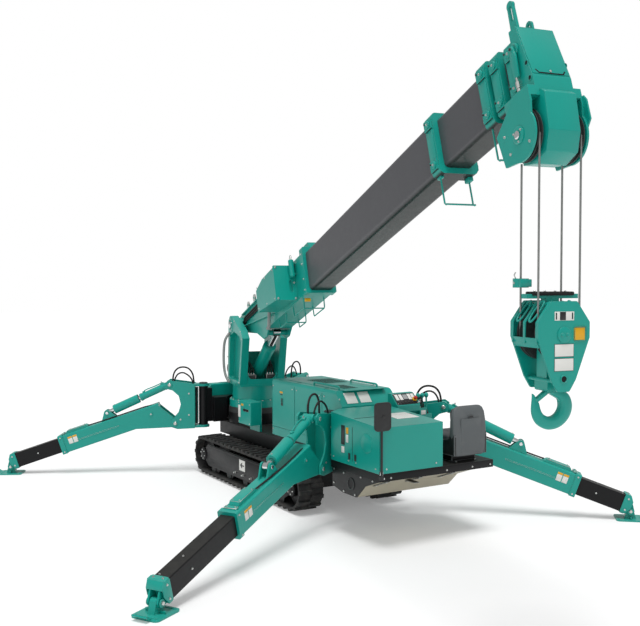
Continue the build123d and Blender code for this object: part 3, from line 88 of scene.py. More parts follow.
def add(
    tree: bpy.types.NodeTree,
    kind: str,
    settings: Optional[dict[str, Any]] = None,
    links: Optional[dict[Any, bpy.types.NodeSocket]] = None,
) -> bpy.types.Node:
    """Adds one node with its settings and links.

    Args:
        tree: The material's node tree.
        kind: The node's type name without its leading "ShaderNode".
        settings: Values by property name, or by socket name or number.
        links: Output sockets by the name or number of the input they feed.

    Returns:
        The new node.
    """
    made = tree.nodes.new("ShaderNode" + kind)
    for name, value in (settings or {}).items():
        if isinstance(name, str) and hasattr(made, name):
            setattr(made, name, value)
        else:
            made.inputs[name].default_value = value
    for name, output in (links or {}).items():
        tree.links.new(output, made.inputs[name])
    return made


def fresh_tree(name: str) -> tuple[bpy.types.Material, bpy.types.NodeTree]:
    """Makes an empty node material.

    Args:
        name: The material's name.

    Returns:
        The material and its node tree.
    """
    made = bpy.data.materials.new(name)
    made.use_nodes = True
    made.node_tree.nodes.clear()
    return made, made.node_tree


def close_tree(tree: bpy.types.NodeTree, shader: bpy.types.Node) -> None:
    """Links a shader to the material's output.

    Args:
        tree: The material's node tree.
        shader: The node whose first output is the surface.
    """
    add(tree, "OutputMaterial", links={"Surface": shader.outputs[0]})


def noise(
    tree: bpy.types.NodeTree,
    where: bpy.types.Node,
    size_mm: float,
    detail: float,
    roughness: float = 0.5,
) -> bpy.types.NodeSocket:
    """Gives a cloudy value between 0 and 1.

    Args:
        tree: The material's node tree.
        where: The node of texture coordinates.
        size_mm: Width of the clouds.
        detail: Number of finer layers.
        roughness: Share of each finer layer.

    Returns:
        The value's socket.
    """
    settings = {"Scale": per_metre(size_mm), "Detail": detail, "Roughness": roughness}
    return add(tree, "TexNoise", settings, {"Vector": where.outputs["Object"]}).outputs[0]


def ramp(
    tree: bpy.types.NodeTree,
    value: bpy.types.NodeSocket,
    start: float = 0.0,
    stop: float = 1.0,
    low: float = 0.0,
    high: float = 1.0,
) -> bpy.types.NodeSocket:
    """Maps a value from one range to another and keeps it inside.

    Args:
        tree: The material's node tree.
        value: The value's socket.
        start: Value that gives low.
        stop: Value that gives high.
        low: Result at start.
        high: Result at stop.

    Returns:
        The result's socket.
    """
    settings = {"From Min": start, "From Max": stop, "To Min": low, "To Max": high}
    return add(tree, "MapRange", settings, {"Value": value}).outputs[0]


def product(
    tree: bpy.types.NodeTree,
    first: bpy.types.NodeSocket,
    second: bpy.types.NodeSocket,
) -> bpy.types.NodeSocket:
    """Multiplies two values."""
    return add(tree, "Math", {"operation": "MULTIPLY"}, {0: first, 1: second}).outputs[0]


def mixed(
    tree: bpy.types.NodeTree,
    amount: bpy.types.NodeSocket,
    under: str | bpy.types.NodeSocket,
    over: str,
) -> bpy.types.NodeSocket:
    """Lays one colour over another.

    Args:
        tree: The material's node tree.
        amount: How much of the upper colour shows.
        under: The lower colour, as hex digits or as a socket.
        over: The upper colour, as hex digits.

    Returns:
        The resulting colour's socket.
    """
    settings, links = {"data_type": "RGBA", 7: linear(over)}, {0: amount}
    if isinstance(under, str):
        settings[6] = linear(under)
    else:
        links[6] = under
    return add(tree, "Mix", settings, links).outputs[2]


@dataclass(frozen=True)
class SprayedPaint:
    """Two-pack enamel, sprayed on steel plate.

    It gives the eye an even colour with a soft broad gloss, faint orange peel, a
    little dust on what faces up and paler lines where edges have rubbed.
    """

    name: str
    colour: str
    roughness: float = 0.34
    gloss: float = 0.18
    sheen_level: float = 0.38
    edge_colour: str = "#8FB9B2"
    dust_colour: str = "#A8A79C"
    dust: float = 0.10
    edge_mm: float = 4.0
    peel_mm: float = 7.0
    tone_mm: float = 420.0
    speckle_mm: float = 70.0
    second_colour: Optional[str] = None
    split_point: Sequence[float] = (0.0, 0.0, 0.0)
    split_along: Sequence[float] = (0.0, 0.0, 1.0)
    # colour of painted shade laid on faces that point down
    painted_shade_colour: Optional[str] = None

    def material(self) -> bpy.types.Material:
        """Builds the paint.

        Returns:
            The finished material.
        """
        made, tree = fresh_tree(self.name)
        where = add(tree, "TexCoord")
        surface = add(tree, "NewGeometry")
        tone = ramp(tree, noise(tree, where, self.tone_mm, 3.0, 0.55), low=0.93, high=1.06)
        base = add(tree, "HueSaturation", {"Color": linear(self.colour)}, {"Value": tone})
        colour = base.outputs[0]
        if self.second_colour:
            beyond = self.beyond_split(tree, where)
            colour = mixed(tree, beyond, colour, self.second_colour)
        facing = add(tree, "SeparateXYZ", links={0: where.outputs["Normal"]}).outputs["Z"]
        if self.painted_shade_colour:
            # painted shade: faces that point down are darkened toward this colour
            colour = mixed(tree, ramp(tree, facing, -0.45, -0.8), colour, self.painted_shade_colour)
        speckle = noise(tree, where, self.speckle_mm, 6.0, 0.65)
        dusty = product(tree, ramp(tree, facing, 0.55, 1.0, high=self.dust), speckle)
        colour = mixed(tree, dusty, colour, self.dust_colour)
        rounded = add(tree, "Bevel", {"samples": 4, "Radius": self.edge_mm * MM}).outputs[0]
        agree = add(
            tree,
            "VectorMath",
            {"operation": "DOT_PRODUCT"},
            {0: rounded, 1: surface.outputs["Normal"]},
        )
        rubbed = ramp(tree, agree.outputs["Value"], 0.985, 0.80, high=0.55)
        colour = mixed(tree, product(tree, rubbed, speckle), colour, self.edge_colour)
        rough = ramp(tree, speckle, low=self.roughness - 0.06, high=self.roughness + 0.10)
        # real orange peel is 1 to 3 mm wide; it is drawn coarser so that it shows
        peel = noise(tree, where, self.peel_mm, 1.0)
        relief = add(
            tree,
            "Bump",
            {"Strength": 0.10, "Distance": 0.0006},
            {"Height": peel, "Normal": rounded},
        )
        shader = add(
            tree,
            "BsdfPrincipled",
            {
                "IOR": 1.5,
                "Specular IOR Level": self.sheen_level,
                "Coat Weight": self.gloss,
                "Coat Roughness": 0.12,
            },
            {"Base Color": colour, "Roughness": rough, "Normal": relief.outputs[0]},
        )
        close_tree(tree, shader)
        return made

    def beyond_split(
        self, tree: bpy.types.NodeTree, where: bpy.types.Node
    ) -> bpy.types.NodeSocket:
        """Tells where the second colour starts.

        Args:
            tree: The material's node tree.
            where: The node of texture coordinates.

        Returns:
            A socket that is 1 beyond the plane between both colours, and 0 before it.
        """
        offset = add(
            tree,
            "VectorMath",
            {"operation": "SUBTRACT", 1: [c * MM for c in self.split_point]},
            {0: where.outputs["Object"]},
        )
        along = add(
            tree,
            "VectorMath",
            {"operation": "DOT_PRODUCT", 1: list(self.split_along)},
            {0: offset.outputs["Vector"]},
        )
        settings = {"operation": "GREATER_THAN", 1: 0.0}
        return add(tree, "Math", settings, {0: along.outputs["Value"]}).outputs[0]


@dataclass(frozen=True)
class VulcanisedRubber:
    """Carbon-black rubber, vulcanised in a mould.

    It looks matt and slightly grey, with dust in the hollows and scuffs on top.
    """

    name: str
    colour: str = "#232324"
    dust_colour: str = "#6B675F"
    dust: float = 0.35
    dust_mm: float = 90.0
    grain_mm: float = 5.0

    def material(self) -> bpy.types.Material:
        """Builds the rubber.

        Returns:
            The finished material.
        """
        made, tree = fresh_tree(self.name)
        where = add(tree, "TexCoord")
        cloud = noise(tree, where, self.dust_mm, 8.0, 0.7)
        amount = ramp(tree, cloud, 0.45, 0.75, high=self.dust)
        colour = mixed(tree, amount, self.colour, self.dust_colour)
        grain = noise(tree, where, self.grain_mm, 3.0)
        relief = add(tree, "Bump", {"Strength": 0.35, "Distance": 0.001}, {"Height": grain})
        rough = ramp(tree, cloud, low=0.62, high=0.88)
        shader = add(
            tree,
            "BsdfPrincipled",
            {"IOR": 1.52, "Specular IOR Level": 0.4},
            {"Base Color": colour, "Roughness": rough, "Normal": relief.outputs[0]},
        )
        close_tree(tree, shader)
        return made


@dataclass(frozen=True)
class Metal:
    """Bare or plated metal: chromed rods, zinc-plated bolts, cast iron, wire rope.

    It mirrors its surroundings, blurred by how it was ground, plated or cast.
    """

    name: str
    colour: str
    roughness: float
    metallic: float = 1.0
    grain_mm: float = 6.0
    grain_depth: float = 0.1
    stain: float = 0.15
    stain_colour: str = "#57534C"
    stain_mm: float = 55.0
    lay_mm: float = 0.0

    def material(self) -> bpy.types.Material:
        """Builds the metal.

        Returns:
            The finished material.
        """
        made, tree = fresh_tree(self.name)
        where = add(tree, "TexCoord")
        cloud = noise(tree, where, self.stain_mm, 5.0, 0.6)
        amount = ramp(tree, cloud, 0.5, 0.8, high=self.stain)
        colour = mixed(tree, amount, self.colour, self.stain_colour)
        place = {"Vector": where.outputs["Object"]}
        if self.lay_mm:
            # strands of the rope cross its length as slanting bands
            bands = {
                "bands_direction": "DIAGONAL",
                "Scale": per_metre(self.lay_mm) / WAVES_PER_UNIT,
                "Distortion": 0.4,
            }
            height = add(tree, "TexWave", bands, place).outputs[1]
        else:
            height = add(tree, "TexVoronoi", {"Scale": per_metre(self.grain_mm)}, place).outputs[0]
        relief = add(
            tree,
            "Bump",
            {"Strength": self.grain_depth, "Distance": 0.001},
            {"Height": height},
        )
        smoothest = max(0.03, self.roughness - 0.05)
        rough = ramp(tree, cloud, low=smoothest, high=self.roughness + 0.12)
        shader = add(
            tree,
            "BsdfPrincipled",
            {"Metallic": self.metallic},
            {"Base Color": colour, "Roughness": rough, "Normal": relief.outputs[0]},
        )
        close_tree(tree, shader)
        return made


@dataclass(frozen=True)
class MouldedPlastic:
    """Injection-moulded plastic or grained vinyl.

    It shows a fine even grain, a soft highlight and slightly paler worn patches.
    """

    name: str
    colour: str
    roughness: float = 0.5
    grain_mm: float = 3.0
    grain_depth: float = 0.25
    worn_colour: str = "#8C8E8E"
    worn_mm: float = 120.0

    def material(self) -> bpy.types.Material:
        """Builds the plastic.

        Returns:
            The finished material.
        """
        made, tree = fresh_tree(self.name)
        where = add(tree, "TexCoord")
        cloud = noise(tree, where, self.worn_mm, 5.0)
        amount = ramp(tree, cloud, 0.5, 0.85, high=0.22)
        colour = mixed(tree, amount, self.colour, self.worn_colour)
        grain = add(
            tree,
            "TexVoronoi",
            {"Scale": per_metre(self.grain_mm), "Randomness": 0.9},
            {"Vector": where.outputs["Object"]},
        )
        relief = add(
            tree,
            "Bump",
            {"Strength": self.grain_depth, "Distance": 0.0006},
            {"Height": grain.outputs[0]},
        )
        rough = ramp(tree, cloud, low=self.roughness - 0.06, high=self.roughness + 0.1)
        shader = add(
            tree,
            "BsdfPrincipled",
            {"IOR": 1.49},
            {"Base Color": colour, "Roughness": rough, "Normal": relief.outputs[0]},
        )
        close_tree(tree, shader)
        return made


# Finishes. Each is named for what the real surface is.
TEAL = "#05A092"
BLACK = "#111113"
# black paint lightened to mid grey: the paint's colour plus painted reflection on the boom's sides
BOOM_BLACK_AND_PAINTED_SHEEN = "#4E4F53"
BEIGE = "#B3AC98"
BEIGE_RUBBED = "#8C8570"
DARK_RUBBED = "#5C5E60"
TEAL_ENAMEL = SprayedPaint("teal_enamel", TEAL)
BLACK_ENAMEL = SprayedPaint(
    "black_enamel",
    BLACK,
    roughness=0.42,
    gloss=0.04,
    sheen_level=0.22,
    edge_colour=DARK_RUBBED,
)
TRACK_RUBBER = VulcanisedRubber("track_rubber_moulded")
HOSE_RUBBER = VulcanisedRubber("hose_rubber", "#1B1B1C", dust=0.12, grain_mm=3.0)
GREY_CONDUIT = VulcanisedRubber("grey_conduit", "#9A9D9C", dust=0.2, grain_mm=3.0)
CAST_IRON = Metal("cast_iron_painted", "#3A3D3D", 0.55, 0.25, grain_mm=5.0, grain_depth=0.3)
CHROME = Metal("hard_chrome", "#D5D7D8", 0.12, stain=0.05, grain_depth=0.02)
ZINC = Metal("zinc_plated_steel", "#C9CBC8", 0.32, stain=0.2)
WIRE_ROPE = Metal("galvanised_wire_rope", "#8E908E", 0.45, 0.8, lay_mm=14.0, grain_depth=0.9)
MIRROR_GLASS = Metal("silvered_glass", "#E8ECEC", 0.03, stain=0.02, grain_depth=0.0)
SEAT_SHELL = MouldedPlastic("polyethylene_shell", "#5D6264", 0.55)
SEAT_VINYL = MouldedPlastic("grained_vinyl", "#3B3E40", 0.5, grain_mm=4.0, grain_depth=0.45)
BLACK_PLASTIC = MouldedPlastic("black_moulded_plastic", "#1F2021", 0.45, worn_colour="#55585A")
RED_PLASTIC = MouldedPlastic("red_knob_plastic", "#B2261E", 0.35, worn_colour="#C9736B")
YELLOW_PLASTIC = MouldedPlastic("yellow_knob_plastic", "#E2A90C", 0.35, worn_colour="#E8CF86")
WHITE_FILM = MouldedPlastic("white_vinyl_film", "#EDEDE8", 0.35, 8.0, 0.05, "#D5D3CB")
YELLOW_FILM = MouldedPlastic("yellow_vinyl_film", "#EFB11A", 0.35, 8.0, 0.05, "#E3C266")
BLACK_FILM = MouldedPlastic("black_vinyl_film", "#1B1C1D", 0.35, 8.0, 0.05, "#4A4C4E")

_made: dict[str, bpy.types.Material] = {}
Finish = SprayedPaint | VulcanisedRubber | Metal | MouldedPlastic


def material_of(finish: Finish) -> bpy.types.Material:
    """Gives a finish's material, made once.

    Args:
        finish: The finish to look up.

    Returns:
        Its material.
    """
    if finish.name not in _made:
        _made[finish.name] = finish.material()
    return _made[finish.name]


def full_turn(count: int) -> list[float]:
    """Gives angles, evenly spread over one turn."""
    return [2 * math.pi * i / count for i in range(count)]


def points_round(
    centre: Vector, across: Vector, other: Vector, radius: float, angles: Sequence[float]
) -> list[Vector]:
    """Gives points on a circle.

    Args:
        centre: The circle's centre.
        across: The direction of angle 0.
        other: The direction of a quarter turn.
        radius: The circle's radius.
        angles: Angles in radians.

    Returns:
        One point for each angle.
    """
    return [centre + across * radius * math.cos(a) + other * radius * math.sin(a) for a in angles]


@dataclass(frozen=True)
class Place:
    """A local frame: a point, the direction along, the direction up and the side."""

    origin: Vector
    along: Vector
    up: Vector
    side: Vector

    def at(self, along: float, up: float = 0.0, side: float = 0.0) -> Vector:
        """Point at three local distances.

        Args:
            along: Distance along the frame's first direction.
            up: Distance along its second direction.
            side: Distance along its third direction.

        Returns:
            The point in the model's frame.
        """
        return self.origin + self.along * along + self.up * up + self.side * side

    def route(self, *points: tuple[float, ...]) -> list[Vector]:
        """Points at several triples of local distances."""
        return [self.at(*point) for point in points]


MODEL = Place(Vector(), Vector((1, 0, 0)), UP, Vector((0, 1, 0)))
_heading = math.radians(9.56)
HEADING = Vector((-math.cos(_heading), math.sin(_heading), 0))
BOOM_LEFT = Vector((math.sin(_heading), math.cos(_heading), 0))
COLUMN = Place(Vector(), HEADING, UP, BOOM_LEFT)
_rise = math.radians(18.52)
# distance out from the slewing axis and height
BOOM_PIN = (-100, 1930)
WINCH_PIN = (-385, 1330)
BOOM = Place(
    COLUMN.at(*BOOM_PIN),
    HEADING * math.cos(_rise) + UP * math.sin(_rise),
    UP * math.cos(_rise) - HEADING * math.sin(_rise),
    BOOM_LEFT,
)
# distance along the boom and above its pin
HEAD_PIN = (6600, -600)
TUBE_MIDDLE = -107
HEAD_R = BOOM.at(*HEAD_PIN).dot(HEADING)
# the rope's radius on a sheave, the head sheaves' distance from the boom's middle plane
# and the block sheaves' distance from the block's middle
SHEAVE_ROPE_R = 160
SHEAVE_SIDE = 160
ROPE_ROW = 97.5
BLOCK_R = HEAD_R + SHEAVE_ROPE_R - ROPE_ROW
BLOCK = Place(COLUMN.at(BLOCK_R, 2170), BOOM_LEFT * -1, UP, HEADING)
HOUSING_HALF = 121.5
# radius and height of one side of a rope sheave's rim
SHEAVE_RIM = ((150, -1), (150, 2), (138, -3), (70, -3), (60, 3), (52, 3))


class Maker:
    """Collects the geometry of one piece, in millimetres, and finishes it."""

    def __init__(self, finish: Finish = TEAL_ENAMEL) -> None:
        """Starts an empty piece.

        Args:
            finish: The finish of what is added first.
        """
        self.mesh = bmesh.new()
        self.finishes: list[Finish] = []
        self.index = 0
        self.use(finish)

    def use(self, finish: Finish) -> "Maker":
        """Takes another finish for what is added next.

        Args:
            finish: The finish.

        Returns:
            The same maker.
        """
        if finish not in self.finishes:
            self.finishes.append(finish)
        self.index = self.finishes.index(finish)
        return self

    def face(self, corners: Sequence[bmesh.types.BMVert]) -> bmesh.types.BMFace:
        """Adds one face with the finish in use."""
        made = self.mesh.faces.new(corners)
        made.material_index = self.index
        return made

    def skin(self, rings: Sequence[Sequence[Vector]], capped: bool = True) -> "Maker":
        """Joins rings of points with a skin.

        Args:
            rings: Closed rings, all with the same number of points.
            capped: Whether the first and last ring are filled.

        Returns:
            The same maker.
        """
        rows = [[self.mesh.verts.new(p) for p in ring] for ring in rings]
        count = len(rows[0])
        for low, high in zip(rows, rows[1:]):
            for i in range(count):
                j = (i + 1) % count
                self.face((low[i], low[j], high[j], high[i]))
        if capped:
            self.face(rows[0][::-1])
            self.face(rows[-1])
        return self

    def turned(
        self,
        centre: Vector,
        axis: Vector,
        profile: Sequence[tuple[float, float]],
        sides: int = 24,
        capped: bool = True,
    ) -> "Maker":
        """Turns a profile round an axis.

        Args:
            centre: A point on the axis.
            axis: The axis's direction.
            profile: Radius and distance along the axis, point by point.
            sides: Facets round the axis.
            capped: Whether both ends are filled.

        Returns:
            The same maker.
        """
        axis = axis.normalized()
        across = axis.orthogonal().normalized()
        other = axis.cross(across)
        rings = [
            points_round(centre + axis * height, across, other, radius, full_turn(sides))
            for radius, height in profile
        ]
        return self.skin(rings, capped)

    def slab(
        self,
        place: Place,
        outline: Sequence[tuple[float, float]],
        near: float,
        far: float,
        edge: float = 2.0,
    ) -> "Maker":
        """Adds a plate with eased edges.

        Args:
            place: The frame the outline is drawn in.
            outline: Points along and up.
            near: Where the plate starts on the frame's side direction.
            far: Where it ends.
            edge: Width of the eased edges.

        Returns:
            The same maker.
        """
        low = [self.mesh.verts.new(place.at(a, u, near)) for a, u in outline]
        high = [self.mesh.verts.new(place.at(a, u, far)) for a, u in outline]
        faces = [self.face(low), self.face(high[::-1])]
        for i in range(len(low)):
            j = (i + 1) % len(low)
            faces.append(self.face((low[j], low[i], high[i], high[j])))
        if edge:
            edges = list({e for f in faces for e in f.edges})
            bmesh.ops.bevel(self.mesh, geom=edges, offset=edge, segments=2, affect="EDGES", profile=0.5)
        return self

    def box(
        self,
        place: Place,
        centre: tuple[float, float, float],
        size: tuple[float, float, float],
        edge: float = 3.0,
    ) -> "Maker":
        """Adds a box with eased edges.

        Args:
            place: The frame of the box.
            centre: Its middle: along, up, side.
            size: Its lengths in the same order.
            edge: Width of the eased edges.

        Returns:
            The same maker.
        """
        (a, u, s), (la, lu, ls) = centre, size
        outline = [(a + i * la / 2, u + j * lu / 2) for i, j in ((-1, -1), (1, -1), (1, 1), (-1, 1))]
        return self.slab(place, outline, s - ls / 2, s + ls / 2, edge)

    def bolt(self, head: Vector, axis: Vector, size: float = 12.0) -> "Maker":
        """Adds a hexagon bolt's head on its washer.

        Args:
            head: Where the washer sits.
            axis: The direction that the head points to.
            size: The thread's diameter.

        Returns:
            The same maker.
        """
        washer, high = size * 1.05, size * 0.7
        self.turned(head, axis, ((washer, -1), (washer, 0.14 * size), (0.9 * size, 0.2 * size)), 18)
        top = head + axis.normalized() * 0.15 * size
        profile = ((0.92 * size, 0), (0.92 * size, 0.8 * high), (0.78 * size, high))
        return self.turned(top, axis, profile, 6)

    def bolts(self, heads: Sequence[Vector], axis: Vector, size: float = 12.0) -> "Maker":
        """Adds the same bolt at several points.

        Args:
            heads: Where the washers sit.
            axis: The direction that the heads point to.
            size: The thread's diameter.

        Returns:
            The same maker.
        """
        for head in heads:
            self.bolt(head, axis, size)
        return self

    def rod(self, path: Sequence[Vector], radius: float, sides: int = 10) -> "Maker":
        """Adds a bent round rod.

        Args:
            path: The points it passes through.
            radius: Its radius.
            sides: Facets round it.

        Returns:
            The same maker.
        """
        rings = []
        across: Optional[Vector] = None
        for i, point in enumerate(path):
            ahead = path[min(i + 1, len(path) - 1)] - path[max(i - 1, 0)]
            ahead.normalize()
            across = ahead.orthogonal() if across is None else across - ahead * across.dot(ahead)
            across.normalize()
            rings.append(points_round(point, across, ahead.cross(across), radius, full_turn(sides)))
        return self.skin(rings)

    def piece(self, name: str, body: str, slot: Slot = Slot.TEAL) -> bpy.types.Object:
        """Finishes the piece and hangs it on its body.

        Args:
            name: The piece's name.
            body: The body it moves with.
            slot: The record's slot that its finish stands for; not used.

        Returns:
            The new object.
        """
        bmesh.ops.recalc_face_normals(self.mesh, faces=self.mesh.faces)
        bmesh.ops.scale(self.mesh, vec=(MM, MM, MM), verts=self.mesh.verts)
        for made in self.mesh.faces:
            made.smooth = True
        for edge in self.mesh.edges:
            edge.smooth = edge.calc_face_angle(0.0) < SHARP_EDGE
        data = bpy.data.meshes.new(name)
        self.mesh.to_mesh(data)
        self.mesh.free()
        for finish in self.finishes:
            data.materials.append(material_of(finish))
        made = bpy.data.objects.new(name, data)
        bpy.context.scene.collection.objects.link(made)
        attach(made, body)
        LOG.info("piece %s on %s, %d faces", name, body, len(data.polygons))
        return made


def hose(
    name: str,
    body: str,
    points: Sequence[Vector],
    radius: float,
    finish: Finish = HOSE_RUBBER,
) -> bpy.types.Object:
    """Lays a hydraulic hose held at both ends as one smooth curve.

    Args:
        name: The piece's name.
        body: The body it moves with.
        points: Control points of its line.
        radius: Its radius.
        finish: Its finish.

    Returns:
        The new curve.
    """
    data = bpy.data.curves.new(name, "CURVE")
    data.dimensions = "3D"
    data.bevel_depth = radius * MM
    data.bevel_resolution = 3
    data.use_fill_caps = True
    line = data.splines.new("NURBS")
    line.points.add(len(points) - 1)
    for control, point in zip(line.points, points):
        control.co = (*(point * MM), 1.0)
    line.order_u = 3
    line.use_endpoint_u = True
    line.resolution_u = 8
    data.materials.append(material_of(finish))
    made = bpy.data.objects.new(name, data)
    bpy.context.scene.collection.objects.link(made)
    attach(made, body)
    LOG.info("hose %s on %s", name, body)
    return made


@dataclass
class Painting:
    """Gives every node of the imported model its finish."""

    collar_starts: dict[str, float] = field(
        default_factory=lambda: {"boom_1": 5399.0, "boom_2": 6179.0, "boom_3": 6329.0, "boom_4": 6499.0}
    )
    plain: dict[str, Finish] = field(
        default_factory=lambda: {
            "chassis": BLACK_ENAMEL,
            "deck": BLACK_ENAMEL,
            "track_left": TRACK_RUBBER,
            "track_right": TRACK_RUBBER,
            "track_frame_left": BLACK_ENAMEL,
            "track_frame_right": BLACK_ENAMEL,
            "engine": CAST_IRON,
            "slew_ring": CAST_IRON,
            "winch": CAST_IRON,
            "mirror": BLACK_PLASTIC,
            "boom_5": BLACK_ENAMEL,
            "head_sheaves": CAST_IRON,
            "block_sheaves": CAST_IRON,
            "rope_falls": WIRE_ROPE,
            "derrick_rod": CHROME,
            "seat": SEAT_SHELL,
        }
    )

    def finish_of(self, node: str) -> Finish:
        """Chooses a node's finish.

        Args:
            node: The node's name.

        Returns:
            Its finish; teal enamel where nothing else is said.
        """
        if node in self.plain:
            return self.plain[node]
        if node in self.collar_starts:
            start = BOOM.at(self.collar_starts[node])
            return SprayedPaint(
                f"{node}_enamel",
                # lightened black: partly the paint's colour, partly painted reflection
                BOOM_BLACK_AND_PAINTED_SHEEN,
                roughness=0.42,
                gloss=0.2,
                edge_colour="#77797B",
                second_colour=TEAL,
                split_point=tuple(start),
                split_along=tuple(BOOM.along),
                # painted shade on the downward faces of the boom's sections
                painted_shade_colour="#151A19",
            )
        if node == "belly_skirt":
            return SprayedPaint(
                "belly_skirt_enamel",
                BEIGE,
                roughness=0.5,
                gloss=0.1,
                edge_colour=BEIGE_RUBBED,
                second_colour=BLACK,
                split_point=(0, 645, 0),
                split_along=(0, 1, 0),
            )
        if node.startswith("lift_rod"):
            return CHROME
        for leg in LEGS:
            if node == f"inner_{leg.name}":
                return SprayedPaint(
                    f"{node}_enamel",
                    BLACK,
                    roughness=0.42,
                    gloss=0.04,
                    sheen_level=0.22,
                    edge_colour=DARK_RUBBED,
                    second_colour=TEAL,
                    split_point=tuple(leg.arm.at(leg.inner_end + 5, 205)),
                    split_along=tuple(leg.arm.along),
                )
        return TEAL_ENAMEL

    def build(self) -> None:
        """Assigns every node's finish to its object."""
        for name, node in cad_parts.items():
            made = material_of(self.finish_of(name))
            if node.data.materials:
                for number in range(len(node.data.materials)):
                    node.data.materials[number] = made
            else:
                node.data.materials.append(made)
            LOG.info("node %s takes %s", name, made.name)


# the legs' pins: distance out from the post and height
ARM_PIN = (360, 650)
LIFT_PIN = (430, 1155)
# the lug of the lift cylinder: distance along the arm and above its pin
LIFT_LUG = (800, 410)
FOOT_PIN_UP = 150.0
FOOT_PIN_Z = 92.0
BRACKET_FACE = 114


